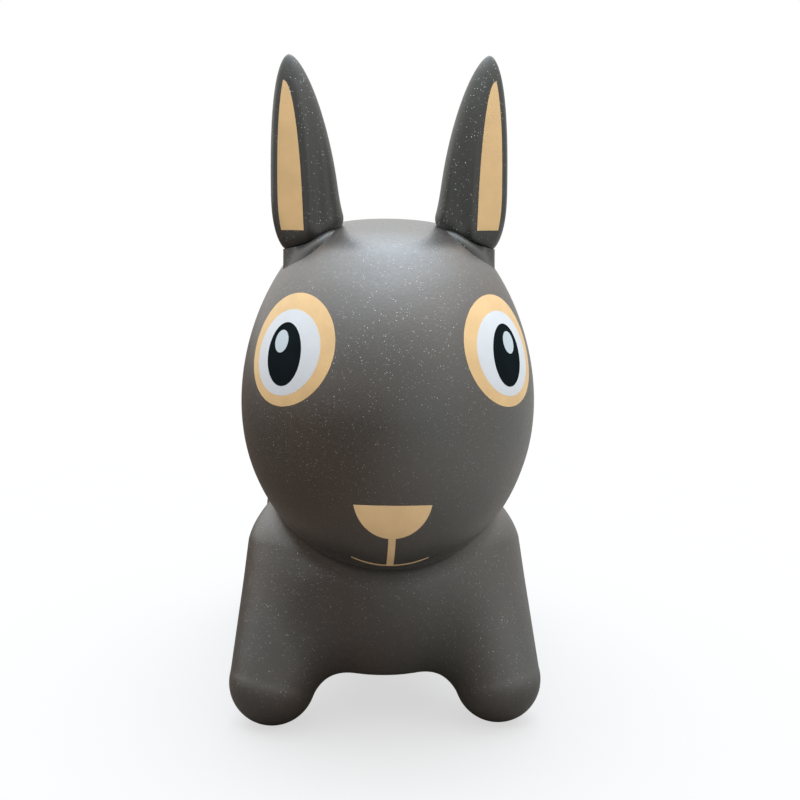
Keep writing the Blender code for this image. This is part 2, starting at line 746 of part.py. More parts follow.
def nose_film():
    """A round nose with its flat edge on top."""
    depth_share = np.sin(np.linspace(0.0, 0.5 * math.pi, NOSE_ROWS))[:, None]
    across = nose_half_width(depth_share) * np.linspace(-1.0, 1.0, NOSE_FACETS)
    return muzzle_film("nose_print", across, NOSE_RADIUS * (1.0 - depth_share) + 0.0 * across)


def nose_edge(across):
    """Height of the nose's lower edge near its middle."""
    share = np.sqrt(1.0 - (across / NOSE_RADIUS) ** 2 * (1.0 - NOSE_CHORD_SHARE ** 2))
    return NOSE_RADIUS * (1.0 - share) / (1.0 - NOSE_CHORD_SHARE)


def mouth_height(across):
    """Height of the middle of the mouth's line: a shallow arc."""
    share = across / MOUTH_HALF_WIDTH
    return -MOUTH_BELOW_NOSE + MOUTH_DROP * share * share


def lip_line_film():
    """The upright bar between the nose and the mouth."""
    across = np.linspace(-0.5 * LIP_LINE_WIDTH, 0.5 * LIP_LINE_WIDTH, 3)[None]
    shares = np.linspace(0.0, 1.0, LIP_LINE_ROWS)[:, None]
    top = nose_edge(across) - FILM_KERF
    bottom = mouth_height(across) + 0.5 * MOUTH_STROKE + FILM_KERF
    return muzzle_film("lip_line_print", across + 0.0 * shares, bottom + (top - bottom) * shares)


def mouth_film():
    """The thin smiling line, its ends a little narrower."""
    across = np.linspace(-MOUTH_HALF_WIDTH, MOUTH_HALF_WIDTH, MOUTH_FACETS)[None]
    shares = np.array((-0.5, 0.5))[:, None]
    share = across / MOUTH_HALF_WIDTH
    stroke = MOUTH_STROKE * (1.0 - MOUTH_TAPER_SHARE * share ** 4)
    return muzzle_film("mouth_print", across + 0.0 * shares, mouth_height(across) + stroke * shares)


def ear_print(side):
    """A tall pointed arch on the scooped face of an ear."""
    share = np.linspace(EAR_PRINT_FOOT_SHARE, EAR_PRINT_TIP_SHARE, EAR_PRINT_ROWS)
    rise = (share - EAR_PRINT_FOOT_SHARE) / (EAR_PRINT_TIP_SHARE - EAR_PRINT_FOOT_SHARE)
    width = EAR_PRINT_WIDTH * (1.0 - rise ** EAR_PRINT_BULGE_SHARE) ** EAR_PRINT_POINT_SHARE
    lower = []
    upper = []
    for here, wide in zip(share, width):
        half = ear_half_width(here)
        across = half - EAR_PRINT_MARGIN - wide * np.linspace(1.0, 0.0, EAR_PRINT_COLUMNS)
        angles = -np.arccos(np.clip(across / half, -1.0, 1.0))
        lower.append(ear_points(here, angles, -EAR_FILM_GAP, side))
        upper.append(ear_points(here, angles, -EAR_FILM_GAP - FILM_THICKNESS, side))
    return film_mesh("ear_print", np.array(lower), np.array(upper), wrap=False)


def turned(name, profile, closed, collection, material, place):
    """A turned piece: a profile at +X, run down its outer side, with a Screw modifier."""
    form = bmesh.new()
    points = [form.verts.new((radius, 0.0, height)) for radius, height in profile]
    for here, after in zip(points, points[1:]):
        form.edges.new((here, after))
    if closed:
        form.edges.new((points[-1], points[0]))
    mesh = bpy.data.meshes.new(name)
    form.to_mesh(mesh)
    form.free()
    thing = new_object(name, mesh, collection, material)
    thing.location = place
    screw = thing.modifiers.new("turned", "SCREW")
    screw.steps = TURNED_STEPS
    screw.render_steps = TURNED_STEPS
    screw.use_merge_vertices = True
    screw.merge_threshold = MERGE_DISTANCE
    return thing


def belly_height():
    """Height of the lowest skin at the valve."""
    point = np.array([[0.0, VALVE_Y, 0.0]])
    for _ in range(DROP_ROUNDS):
        point[0, 2] += float(skin_distance(point)[0])
    return float(point[0, 2])


def valve_pieces(collection, seat_material, plug_material):
    """The soft seat in the belly, and the stepped plug that closes it."""
    recess = belly_height() + SEAT_RECESS_DEPTH
    top = SEAT_BARREL_LENGTH
    flange_top = -SEAT_GAP
    flange_foot = flange_top - SEAT_FLANGE_DEPTH
    barrel_bevel = SEAT_FLANGE_DEPTH
    seat_profile = [
        (SEAT_BARREL_RADIUS - barrel_bevel, top),
        (SEAT_BARREL_RADIUS, top - barrel_bevel),
        (SEAT_BARREL_RADIUS, flange_top),
        (SEAT_FLANGE_RADIUS, flange_top),
        (SEAT_FLANGE_RADIUS, flange_foot),
        (SEAT_BORE_RADIUS, flange_foot),
        (SEAT_BORE_RADIUS, top),
    ]
    seat = turned("valve_insert", seat_profile, True, collection, seat_material, (0.0, VALVE_Y, recess))
    head_top = flange_foot - SEAT_GAP
    head_foot = head_top - PLUG_HEAD_DEPTH
    stem_top = head_top + PLUG_STEM_LENGTH
    step_height = head_top + 0.5 * PLUG_STEM_LENGTH
    plug_profile = [
        (0.0, stem_top),
        (PLUG_TIP_RADIUS - PLUG_STEP, stem_top),
        (PLUG_TIP_RADIUS, stem_top - PLUG_STEP),
        (PLUG_TIP_RADIUS, step_height + PLUG_STEP),
        (PLUG_STEM_RADIUS, step_height),
        (PLUG_STEM_RADIUS, head_top),
        (PLUG_HEAD_RADIUS, head_top),
        (PLUG_HEAD_RADIUS, head_foot + PLUG_STEP),
        (PLUG_HEAD_RADIUS - PLUG_STEP, head_foot),
        (0.0, head_foot),
    ]
    plug = turned("valve_plug", plug_profile, False, collection, plug_material, (0.0, VALVE_Y, recess))
    return seat, plug


def seat_cutters(tools):
    """The flat recess in the belly for the seat's flange, and the hole for its barrel."""
    low = belly_height()
    recess = drum_cutter(
        "flange_recess", (0.0, VALVE_Y, low - CUT_OVERRUN), SEAT_FLANGE_RADIUS + SEAT_GAP,
        CUT_OVERRUN + SEAT_RECESS_DEPTH, tools,
    )
    hole = drum_cutter(
        "barrel_hole", (0.0, VALVE_Y, low - CUT_OVERRUN), SEAT_BARREL_RADIUS + SEAT_GAP,
        CUT_OVERRUN + CUT_OVERRUN, tools,
    )
    return recess, hole


def ear_bore_cutter(side, tools):
    """A drum of the root's bore, through the head's wall."""
    wide = 0.5 * ROOT_WIDTH - ROOT_WALL
    deep = 0.5 * ROOT_DEPTH - ROOT_WALL
    rings = [oval(wide, deep, -(ROOT_HEIGHT + ROOT_SINK), side), oval(wide, deep, 0.0, side)]
    return as_cutter(new_object("ear_bore", loft("ear_bore", rings), tools))


def grown_skin(outer, tools):
    """The outer skin moved out by the seat gap, which shapes what stands on it."""
    mesh = outer.copy()
    normals = np.empty(len(mesh.vertices) * 3)
    mesh.vertices.foreach_get("normal", normals)
    put_points(mesh, mesh_points(mesh) + SEAT_GAP * normals.reshape(-1, 3))
    return as_cutter(new_object("grown_skin", mesh, tools))


def put_on_axis(thing, place):
    """Moves an object's origin to a place, and leaves its form where it is."""
    thing.data.transform(Matrix.Translation(-Vector(place)))
    thing.location = place


def ear_hinge(side):
    """A place in the root, behind its middle, where the ear bends clear of the crown both ways."""
    base = ear_base()
    return side * base[0], base[1] + HINGE_BACK, base[2] - 0.5 * ROOT_HEIGHT


def add_ears(toy, tools, outer, skin_material, print_material):
    """Both ears with their roots and prints; a print rides on its ear."""
    head_form = grown_skin(outer, tools)
    for side, word in ((1.0, "left"), (-1.0, "right")):
        ear = new_object("ear_" + word, ear_blade(side), toy, skin_material)
        put_on_axis(ear, ear_hinge(side))
        root = new_object("ear_root_" + word, ear_root_tube(side), toy, skin_material)
        add_cut(root, head_form)
        strip = new_object("ear_print_" + word, ear_print(side), toy, print_material)
        put_on_axis(strip, ear_hinge(side))
        strip.parent = ear
        strip.location = (0.0, 0.0, 0.0)


def add_face(toy, tan, white, black, glint):
    """Eyes, nose, lip line and mouth."""
    finish = {"eye_ring": tan, "eye_white": white, "pupil": black, "eye_glint": glint}
    for side, word in ((1.0, "left"), (-1.0, "right")):
        for name, mesh in eye_films(side).items():
            new_object(name + "_" + word, mesh, toy, finish[name])
    new_object("nose_print", nose_film(), toy, tan)
    new_object("lip_line_print", lip_line_film(), toy, tan)
    new_object("mouth_print", mouth_film(), toy, tan)


def add_skin(toy, tools, outer, material):
    """The hollow body with its soles cut flat and its openings cut through."""
    inner = skin_mesh(tools, -SKIN_WALL, INNER_FACES)
    body = new_object("body_skin", hollow_mesh(outer, inner), toy, material)
    reach = HEAD_HALF_WIDTH + TRUNK_HALF_LENGTH + TAIL_Y
    floor = box_cutter("floor", (-reach, -reach, -CUT_OVERRUN), (reach, reach, 0.0), tools)
    for cutter in (floor, *seat_cutters(tools), ear_bore_cutter(1.0, tools), ear_bore_cutter(-1.0, tools)):
        add_cut(body, cutter)
    body.data.shade_smooth()
    body.data.set_sharp_from_angle(angle=SHARP_ANGLE)
    return body


def build_toy():
    """Builds the whole toy."""
    clear_scene()
    toy = make_collection(TOY_NAME)
    tools = make_collection("cutters")
    skin_material = make_material("charcoal_vinyl", SKIN_COLOUR, SKIN_ROUGHNESS)
    tan = make_material("tan_print", TAN_COLOUR, PRINT_ROUGHNESS)
    white = make_material("white_print", WHITE_COLOUR, PRINT_ROUGHNESS)
    black = make_material("black_print", PUPIL_COLOUR, PRINT_ROUGHNESS)
    glint = make_material("pale_print", GLINT_COLOUR, PRINT_ROUGHNESS)
    valve = make_material("valve_plastic", VALVE_COLOUR, VALVE_ROUGHNESS)
    outer = skin_mesh(tools, 0.0, OUTER_FACES)
    add_skin(toy, tools, outer, skin_material)
    add_ears(toy, tools, outer, skin_material, tan)
    add_face(toy, tan, white, black, glint)
    valve_pieces(toy, skin_material, valve)


build_toy()
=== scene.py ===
"""Looks of the hopping rabbit: the vinyl skin with its ears, the printed face and the valve.

Each form is worked out from the sizes of the solids that it stands for. Some sizes of the crown,
of the ears' undersides, roots and prints, and of the nose's top are the scene's own, closer to the
photograph. The rabbit faces -Y, +X is its left, +Z is up, it stands on z = 0, and lengths are metres.
"""
import math
from itertools import product

import bmesh
import bpy
import numpy as np
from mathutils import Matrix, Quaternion, Vector


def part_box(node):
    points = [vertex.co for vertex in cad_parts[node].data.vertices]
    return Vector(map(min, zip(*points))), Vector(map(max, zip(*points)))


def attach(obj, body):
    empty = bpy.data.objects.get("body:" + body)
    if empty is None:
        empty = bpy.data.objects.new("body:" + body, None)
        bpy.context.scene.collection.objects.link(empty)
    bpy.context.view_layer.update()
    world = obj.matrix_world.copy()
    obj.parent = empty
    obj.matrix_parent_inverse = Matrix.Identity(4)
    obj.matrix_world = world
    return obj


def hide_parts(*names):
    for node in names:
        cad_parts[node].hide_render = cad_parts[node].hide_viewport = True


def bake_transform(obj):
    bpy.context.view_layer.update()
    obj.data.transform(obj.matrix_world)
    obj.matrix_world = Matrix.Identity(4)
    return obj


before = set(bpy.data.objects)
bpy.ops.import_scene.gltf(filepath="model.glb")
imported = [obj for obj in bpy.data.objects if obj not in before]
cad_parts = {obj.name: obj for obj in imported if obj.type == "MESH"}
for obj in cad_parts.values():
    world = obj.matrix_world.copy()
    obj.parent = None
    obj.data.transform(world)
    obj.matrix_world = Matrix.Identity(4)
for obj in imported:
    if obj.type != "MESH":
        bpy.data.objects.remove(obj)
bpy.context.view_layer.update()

# Head, an egg with a flattened crown
HEAD_HALF_SIZES = (0.1283, 0.150, 0.160)
HEAD_CENTRE = (0.0, -0.1336, 0.3212)
CROWN_HEIGHT = 0.4615
CROWN_SOFTENING = 0.0170
HEAD_NARROWING_SHARE = 0.106
NECK_CREASE = 0.018
MUZZLE_HALF_SIZES = (0.080, 0.078, 0.070)
MUZZLE_CENTRE = (0.0, -0.1836, 0.252)
MUZZLE_BLEND = 0.040

# Trunk, chest and rump
TRUNK_HALF_SIZES = (0.102, 0.190, 0.1045)
TRUNK_CENTRE = (0.0, 0.0414, 0.1575)
CHEST_HALF_SIZES = (0.103, 0.100, 0.1225)
CHEST_CENTRE = (0.0, -0.0786, 0.1325)
RUMP_HALF_SIZES = (0.099, 0.098, 0.100)
RUMP_CENTRE = (0.0, 0.1464, 0.152)
TRUNK_BLEND = 0.050
BELLY_HEIGHT = 0.049
BELLY_SOFTENING = 0.009

# Legs and tail
HIP_RADIUS = 0.0565
FOOT_RADIUS = 0.040
SOLE_DEPTH = 0.0012
SOLE_SOFTENING = 0.0010
FRONT_HIP = (0.0715, -0.0936, 0.1485)
FRONT_FOOT = (0.1045, -0.1325, FOOT_RADIUS - SOLE_DEPTH)
REAR_HIP = (0.053, 0.1464, 0.136)
REAR_FOOT = (0.096, 0.1664, FOOT_RADIUS - SOLE_DEPTH)
LEG_BLEND = 0.030
TAIL_RADIUS = 0.034
TAIL_CENTRE = (0.0, 0.2494, 0.190)
TAIL_BLEND = 0.016

# Grid of the skin, and the steps that bring points onto a surface
SKIN_STEP = 0.0030
SKIN_MARGIN = 0.0075
SLOPE_PROBE = 0.0001
EVENING_ROUNDS = 5
SETTLE_ROUNDS = 3
PRESS_ROUNDS = 12
SETTLE_LEAST_SLOPE = 0.1
PRESS_LEAST_SLOPE = 0.2
SHARP_ANGLE = math.radians(50)

# Blade of an ear
EAR_HEIGHT = 0.1428
EAR_WIDTH = 0.0590
EAR_DEPTH = 0.052
EAR_X = 0.07108
EAR_Y = -0.1426
EAR_LEAN = math.radians(6)
EAR_TIP_SHIFT = 0.0140
EAR_DRIFT_POWER = 1.5
EAR_FULLNESS_POWER = 0.58
EAR_SCOOP = 0.005
EAR_SCOOP_TURN = math.radians(-68)
EAR_SCOOP_SPREAD = math.radians(30)
EAR_FOOT_SHARE = 0.30
EAR_FOOT_POWER = 3
EAR_FOOT_WIDENING = 0.005
EAR_FOOT_TAPER = 0.009

# Underside of an ear, and the lip round it
EAR_ROOT_DROP = 0.0160
EAR_ROOT_SLOPE = math.radians(18)
EAR_ROOT_BOW = 0.0037
LIP_INSET = 0.0070
LIP_HEIGHT = 0.0110
LIP_OUTER_SHARE = 0.7

# Root of an ear
ROOT_WIDTH = 0.048
ROOT_DEPTH = 0.041
ROOT_HEIGHT = 0.013
ROOT_SHIFT = -0.004
ROOT_SPREAD = 0.002
ROOT_FRONT_SPREAD = 0.020
ROOT_SWELL = 0.0125
ROOT_FRONT_TURN = math.radians(-88)
ROOT_FRONT_BELL = math.radians(38)
FOOT_SINK = 0.0006

# Rows and columns of an ear
EAR_COLUMNS = 144
ROOT_ROWS = 14
LIP_ROWS = 7
BLADE_ROWS = 84
EAR_WELD = 0.00002

# The sunk panel of an ear, the ridge beside it and the groove beyond
PANEL_DEPTH = 0.0013
PANEL_EDGE = 0.0030
PANEL_MARGIN = 0.0012
RIDGE_HEIGHT = 0.0014
RIDGE_OFFSET = 0.0060
RIDGE_SPREAD = 0.0028
GROOVE_DEPTH = 0.0030
GROOVE_OFFSET = 0.0140
GROOVE_SPREAD = 0.0060
RELIEF_FADE_SHARE = 0.75
RELIEF_FRONT_SHARE = 0.4

# Films of ink
INK_RISE = 0.00010
INK_SINK = 0.00015
INK_STEP = 0.00005
INK_OVERLAP = 0.0006
FILM_WELD = 0.000002

# Eyes
EYE_X = 0.08493
EYE_Z = 0.3661
EYE_SHIFT = 0.005
RING_PLACE = (0.0108, 0.0029)
RING_HALF = (0.0520, 0.0472)
RING_LEAN = math.radians(11)
WHITE_PLACE = (0.0110, 0.0)
WHITE_HALF = (0.0400, 0.0357)
WHITE_LEAN = math.radians(13)
PUPIL_PLACE = (0.0120, -0.0018)
PUPIL_HALF = (0.0220, 0.0265)
PUPIL_LEAN = math.radians(15)
GLINT_PLACE = (0.0175, 0.0080)
GLINT_HALF = (0.0090, 0.0095)
GLINT_LEAN = math.radians(15)
EYE_COLUMNS = 96
EYE_ROWS = 9

# Nose, lip line and mouth
MUZZLE_PITCH = math.radians(27)
NOSE_RADIUS = 0.032
NOSE_CHORD_SHARE = 0.22
NOSE_CROWN = 0.0030
NOSE_FOOT_Z = 0.2173
NOSE_SHIFT = -0.002
NOSE_COLUMNS = 49
NOSE_ROWS = 17
LIP_LINE_WIDTH = 0.006
LIP_LINE_COLUMNS = 7
MOUTH_HALF_WIDTH = 0.0325
MOUTH_STROKE = 0.003
MOUTH_TAPER_SHARE = 0.5
MOUTH_DROP = 0.010
MOUTH_BELOW_NOSE = 0.046
MOUTH_COLUMNS = 65
MOUTH_ROWS = 5

# Print of an ear
EAR_PRINT_WIDTH = 0.021
EAR_PRINT_MARGIN = 0.006
EAR_PRINT_FOOT_SHARE = 0.081
EAR_PRINT_TIP_SHARE = 0.85
EAR_PRINT_BULGE_POWER = 2.2
EAR_PRINT_POINT_POWER = 0.60
EAR_PRINT_MIDDLE = 0.013
EAR_PRINT_ROWS = 70
EAR_PRINT_COLUMNS = 21
LEVEL_ROUNDS = 6

# Camera, fitted to the photograph, with its lens and sensor in millimetres
CAMERA_TARGET = Vector((0.0059, -0.1186, 0.2929))
CAMERA_DISTANCE = 1.3513
CAMERA_ELEVATION = math.radians(12.95)
CAMERA_YAW = math.radians(-3.15)
CAMERA_ROLL = math.radians(0.47)
CAMERA_LENS = 67.61
CAMERA_SENSOR = 36.0
CAMERA_SHIFT = (0.00854, 0.01215)

# Light of the studio: a dome, with a window in it behind the rabbit's right, and a weak lamp
DOME_POLE = (0.0, 0.20, 0.98)
DOME_LOW = 0.66
DOME_RISE = 4.5
DOME_POWER = 3.0
DOME_SIDE = 0.12
DOME_LOW_TINT = (1.0, 0.98, 0.94)
DOME_HIGH_TINT = (0.80, 0.90, 1.0)
WINDOW_DIRECTION = (-0.80, 0.55, 0.24)
WINDOW_RISE = 0.5
WINDOW_POWER = 3.0
LAMP_PLACE = (1.3, -1.2, 1.0)
LAMP_TARGET = (0.0, -0.1, 0.3)
LAMP_SIZE = 1.4
LAMP_POWER = 1.2
LAMP_COLOUR = (1.0, 0.99, 0.94)

# Noises of the materials: (scale, detail), and for a layer of relief (scale, detail, strength, depth)
VINYL_TONE = (9.0, 2.0)
VINYL_ROUGH = (300.0, 3.0)
VINYL_RELIEF = ((22.0, 1.0, 0.35, 0.0022), (420.0, 2.0, 0.30, 0.00035), (1500.0, 2.0, 0.25, 0.00012))
INK_CLOUD = (45.0, 4.0)
INK_ROUGH = (500.0, 2.0)
PLASTIC_CLOUD = (120.0, 2.0)
PLASTIC_ROUGH = (600.0, 2.0)
PLASTIC_RELIEF = (900.0, 2.0, 0.15, 0.0001)

# The part of a noise's range over which a colour and a roughness change
CLOUD_SPAN = (0.35, 0.65)
ROUGH_SPAN = (0.3, 0.7)

# Finish of the vinyl, its flakes, the inks and the plastic
VINYL_SHINE = 1.0
# Painted shade: the ears and their roots reflect less than the head's vinyl
EAR_SHADE_SHINE = 0.45
VINYL_BENDING = 1.64
VINYL_ROUGHNESS = (0.33, 0.43)
FLAKE_SCALE = 850.0
FLAKE_RADII = (0.16, 0.30)
FLAKE_CHOICE = (0.86, 0.91)
FLAKE_TILT = 0.8
FLAKE_ROUGHNESS = 0.30
INK_SHINE = 0.5
INK_DEPTH_SHARE = 0.90
INK_ROUGHNESS = (0.42, 0.52)
PALE_DEPTH_SHARE = 0.96
PUPIL_SHINE = 0.0
PUPIL_DEPTH_SHARE = 0.8
PLASTIC_ROUGHNESS = (0.30, 0.40)

# Colours as fractions of full light
CHARCOAL = (0.028, 0.028, 0.026)
CHARCOAL_WARM = (0.036, 0.026, 0.020)
# Painted shade: a darker, greener copy of the charcoal for the ears and their roots
EAR_SHADE_CHARCOAL = (0.022, 0.026, 0.022)
FLAKE_SILVER = (0.34, 0.35, 0.36)
TAN = (0.745, 0.503, 0.246)
# Painted light: a lighter copy of the tan for the nose, lip line and mouth, which face down
LIT_MUZZLE_TAN = (0.95, 0.67, 0.36)
WHITE = (0.63, 0.665, 0.71)
PUPIL_BLACK = (0.009, 0.013, 0.015)
GLINT_BLUE = (0.491, 0.571, 0.617)
PLASTIC_DARK = (0.62, 0.62, 0.60)
PLASTIC_PALE = (0.72, 0.72, 0.70)

# Floor: the colour that is seen, and those that light the rabbit on its right (-X) and its left
FLOOR_SEEN = (0.45, 0.45, 0.45)
FLOOR_FELT_RIGHT = (0.08, 0.055, 0.04)
FLOOR_FELT_LEFT = (0.28, 0.27, 0.25)
FLOOR_ACROSS = (-0.4, 0.6)
FLOOR_FADE = (0.25, 1.1)
FLOOR_GLOW = (0.62, 1.0)
FLOOR_ROUGHNESS = 0.9
FLOOR_REACH = 6.0


def ellipsoid_distance(points, centre, half_sizes):
    """Near distance to an ellipsoid: k (k - 1) / |offset / size squared|, with k = |offset / size|."""
    offset = points - np.array(centre)
    sizes = np.array(half_sizes)
    scaled = np.linalg.norm(offset / sizes, axis=-1)
    slope = np.linalg.norm(offset / sizes ** 2, axis=-1)
    return scaled * (scaled - 1.0) / np.maximum(slope, np.finfo(float).tiny)


def limb_distance(points, top, bottom, top_radius, bottom_radius):
    """Distance to a limb: to the nearest point of its axis, less the radius there."""
    start = np.array(top)
    run = np.array(bottom) - start
    share = np.clip(((points - start) @ run) / (run @ run), 0.0, 1.0)
    middle = start + share[..., None] * run
    return np.linalg.norm(points - middle, axis=-1) - top_radius - (bottom_radius - top_radius) * share


def melt(first, second, width):
    """The lesser of two distances, rounded by a parabola where they differ by less than the width."""
    share = np.clip(0.5 + 0.5 * (second - first) / width, 0.0, 1.0)
    return second + (first - second) * share - width * share * (1.0 - share)


def head_distance(points):
    """Egg melted with the muzzle, then cut by the soft plane of the crown."""
    height_share = np.clip((points[..., 2] - HEAD_CENTRE[2]) / HEAD_HALF_SIZES[2], -1.0, 1.0)
    spread = points.copy()
    spread[..., 0] *= 1.0 + HEAD_NARROWING_SHARE * height_share
    egg = ellipsoid_distance(spread, HEAD_CENTRE, HEAD_HALF_SIZES)
    muzzle = ellipsoid_distance(points, MUZZLE_CENTRE, MUZZLE_HALF_SIZES)
    above_crown = points[..., 2] - CROWN_HEIGHT
    return -melt(-melt(egg, muzzle, MUZZLE_BLEND), -above_crown, CROWN_SOFTENING)


def skin_distance(points):
    """Trunk, chest and rump with a flat belly, melted with legs, tail and head, on flat soles."""
    left = points.copy()
    left[..., 0] = np.abs(left[..., 0])
    body = ellipsoid_distance(points, TRUNK_CENTRE, TRUNK_HALF_SIZES)
    body = melt(body, ellipsoid_distance(points, CHEST_CENTRE, CHEST_HALF_SIZES), TRUNK_BLEND)
    body = melt(body, ellipsoid_distance(points, RUMP_CENTRE, RUMP_HALF_SIZES), TRUNK_BLEND)
    body = -melt(-body, points[..., 2] - BELLY_HEIGHT, BELLY_SOFTENING)
    for hip, foot in ((FRONT_HIP, FRONT_FOOT), (REAR_HIP, REAR_FOOT)):
        body = melt(body, limb_distance(left, hip, foot, HIP_RADIUS, FOOT_RADIUS), LEG_BLEND)
    tail = np.linalg.norm(points - np.array(TAIL_CENTRE), axis=-1) - TAIL_RADIUS
    body = melt(melt(body, tail, TAIL_BLEND), head_distance(points), NECK_CREASE)
    return -melt(-body, points[..., 2], SOLE_SOFTENING)


def steepest(distance, points):
    """Slope of a distance along X, Y and Z, by central differences."""
    columns = []
    for axis in range(3):
        step = np.zeros(3)
        step[axis] = SLOPE_PROBE
        columns.append(distance(points + step) - distance(points - step))
    return np.stack(columns, axis=-1) / (SLOPE_PROBE + SLOPE_PROBE)


def settle(distance, points, level, rounds=SETTLE_ROUNDS):
    """Newton steps down the slope of a distance, until the points lie at the level."""
    for _ in range(rounds):
        slope = steepest(distance, points)
        reach = (distance(points) - level) / np.maximum((slope ** 2).sum(axis=-1), SETTLE_LEAST_SLOPE ** 2)
        points = points - reach[..., None] * slope
    return points


def press(distance, points, direction, level):
    """Newton steps along one direction, as a printing pad moves, until the points lie at the level."""
    reach = np.zeros(points.shape[:-1])
    for _ in range(PRESS_ROUNDS):
        here = points + reach[..., None] * direction
        slope = steepest(distance, here) @ direction
        slope = np.where(np.abs(slope) < PRESS_LEAST_SLOPE, -PRESS_LEAST_SLOPE, slope)
        reach -= (distance(here) - level) / slope
    return points + reach[..., None] * direction


def smooth(share):
    """Rises from 0 to 1 without a corner: 3 s squared - 2 s cubed."""
    share = np.clip(share, 0.0, 1.0)
    return share * share * (3.0 - 2.0 * share)


def bell(offset, spread):
    """A bell curve of height 1: exp of minus the square of offset over spread."""
    return np.exp(-((offset / spread) ** 2))


def quads_of(index):
    """Four-sided faces between the neighbours of a grid of vertex numbers."""
    corners = (index[:-1, :-1], index[:-1, 1:], index[1:, 1:], index[1:, :-1])
    return np.stack(corners, axis=-1).reshape(-1, 4)


def put_piece(name, points, faces, material, weld=None):
    """A shaded object of points and faces, turned so that its faces point outwards."""
    points = np.asarray(points, dtype=float).reshape(-1, 3)
    a, b, c, d = (points[faces[:, corner]] for corner in range(4))
    volume = (a * np.cross(b, c)).sum() + (a * np.cross(c, d)).sum()
    if volume < 0:
        faces = faces[:, ::-1]
    mesh = bpy.data.meshes.new(name)
    mesh.from_pydata(points.tolist(), [], faces.tolist())
    if weld:
        merge_points(mesh, weld)
    mesh.materials.append(material)
    mesh.shade_smooth()
    mesh.set_sharp_from_angle(angle=SHARP_ANGLE)
    thing = bpy.data.objects.new(name, mesh)
    bpy.context.scene.collection.objects.link(thing)
    return thing


def merge_points(mesh, distance):
    """Merges points that lie on each other, which closes seams and poles."""
    form = bmesh.new()
    form.from_mesh(mesh)
    bmesh.ops.remove_doubles(form, verts=form.verts, dist=distance)
    form.to_mesh(mesh)
    form.free()


def closed_surface(distance, low, high, step):
    """The zero surface of a distance on a cubic grid.

    Each cell with corners on both sides of the surface gets one vertex, and each grid edge whose
    ends lie on different sides gets a face across it, through the four cells round that edge.
    """
    ticks = [np.arange(start, end + step, step) for start, end in zip(low, high)]
    slices = []
    for x in ticks[0]:
        grid = np.stack(np.meshgrid([x], ticks[1], ticks[2], indexing="ij"), axis=-1)[0]
        slices.append(distance(grid) < 0.0)
    inside = np.stack(slices)
    shape = np.array(inside.shape) - 1
    count = np.zeros(shape, dtype=int)
    cell_corners = list(product((0, 1), repeat=3))
    for corner in cell_corners:
        window = tuple(slice(start, start + size) for start, size in zip(corner, shape))
        count += inside[window]
    crossed = (count > 0) & (count < len(cell_corners))
    number = np.cumsum(crossed).reshape(shape) - 1
    points = np.array(low) + (np.argwhere(crossed) + 0.5) * step
    faces = []
    for axis in range(3):
        second = (axis + 1) % 3
        third = (axis + 2) % 3
        change = np.diff(inside.astype(int), axis=axis)
        for sign in (-1, 1):
            edges = np.argwhere(change == sign)
            corners = []
            for back_second, back_third in ((1, 1), (0, 1), (0, 0), (1, 0)):
                cell = edges.copy()
                cell[:, second] -= back_second
                cell[:, third] -= back_third
                corners.append(number[tuple(cell.T)])
            quads = np.stack(corners, axis=-1)
            faces.append(quads if sign < 0 else quads[:, ::-1])
    return points, np.concatenate(faces)


def evened(distance, points, faces):
    """Draws each point halfway to the mean of its neighbours and back onto the surface, in rounds."""
    start = faces.ravel()
    end = np.roll(faces, -1, axis=1).ravel()
    count = np.bincount(start, minlength=len(points))[:, None]
    for _ in range(EVENING_ROUNDS):
        points = settle(distance, points, 0.0, rounds=1)
        sums = [np.bincount(start, points[end, axis], len(points)) for axis in range(3)]
        points = 0.5 * (points + np.stack(sums, axis=-1) / count)
    return settle(distance, points, 0.0)


def moulded_skin(material):
    """Head, trunk, legs and tail in one closed surface."""
    low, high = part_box("body_skin")
    low = np.array(low) - SKIN_MARGIN
    high = np.array(high) + SKIN_MARGIN
    points, faces = closed_surface(skin_distance, low, high, SKIN_STEP)
    return put_piece("moulded_skin", evened(skin_distance, points, faces), faces, material)


def ear_half(size, share):
    """Half an ear's width or depth at a share of its height: 0.5 size (1 - share squared) ^ fullness."""
    return 0.5 * size * np.maximum(1.0 - share * share, 0.0) ** EAR_FULLNESS_POWER


def ear_print_edges(share):
    """Inner and outer edge of an ear's print: a strip that closes to a round point at its tip.

    It is width x (1 - rise ^ bulge) ^ point wide, where rise runs from 0 at its foot to 1 at its tip.
    """
    rise = (share - EAR_PRINT_FOOT_SHARE) / (EAR_PRINT_TIP_SHARE - EAR_PRINT_FOOT_SHARE)
    rise = np.clip(rise, 0.0, 1.0)
    wide = EAR_PRINT_WIDTH * (1.0 - rise ** EAR_PRINT_BULGE_POWER) ** EAR_PRINT_POINT_POWER
    outer = ear_half(EAR_WIDTH, share) - EAR_PRINT_MARGIN
    return outer - wide, outer


def ear_relief(share, across, front):
    """Depth of the ear's front: sunk at the print, raised beside it, and grooved beyond the ridge."""
    inner, outer = ear_print_edges(share)
    outside = np.maximum(inner - across, across - outer)
    panel = PANEL_DEPTH * (1.0 - smooth((outside - PANEL_MARGIN) / PANEL_EDGE))
    ridge = RIDGE_HEIGHT * bell(inner - across - RIDGE_OFFSET, RIDGE_SPREAD)
    groove = GROOVE_DEPTH * bell(inner - across - GROOVE_OFFSET, GROOVE_SPREAD)
    fading = smooth(share / EAR_PRINT_FOOT_SHARE) * smooth((1.0 - share) / RELIEF_FADE_SHARE)
    return (panel - ridge + groove) * fading * smooth(front / RELIEF_FRONT_SHARE)


def underside(across):
    """Height of an ear's underside: bow x (2 across / width) squared - slope x across - drop."""
    bow = EAR_ROOT_BOW * (2.0 * across / EAR_WIDTH) ** 2
    return bow - across * math.tan(EAR_ROOT_SLOPE) - EAR_ROOT_DROP


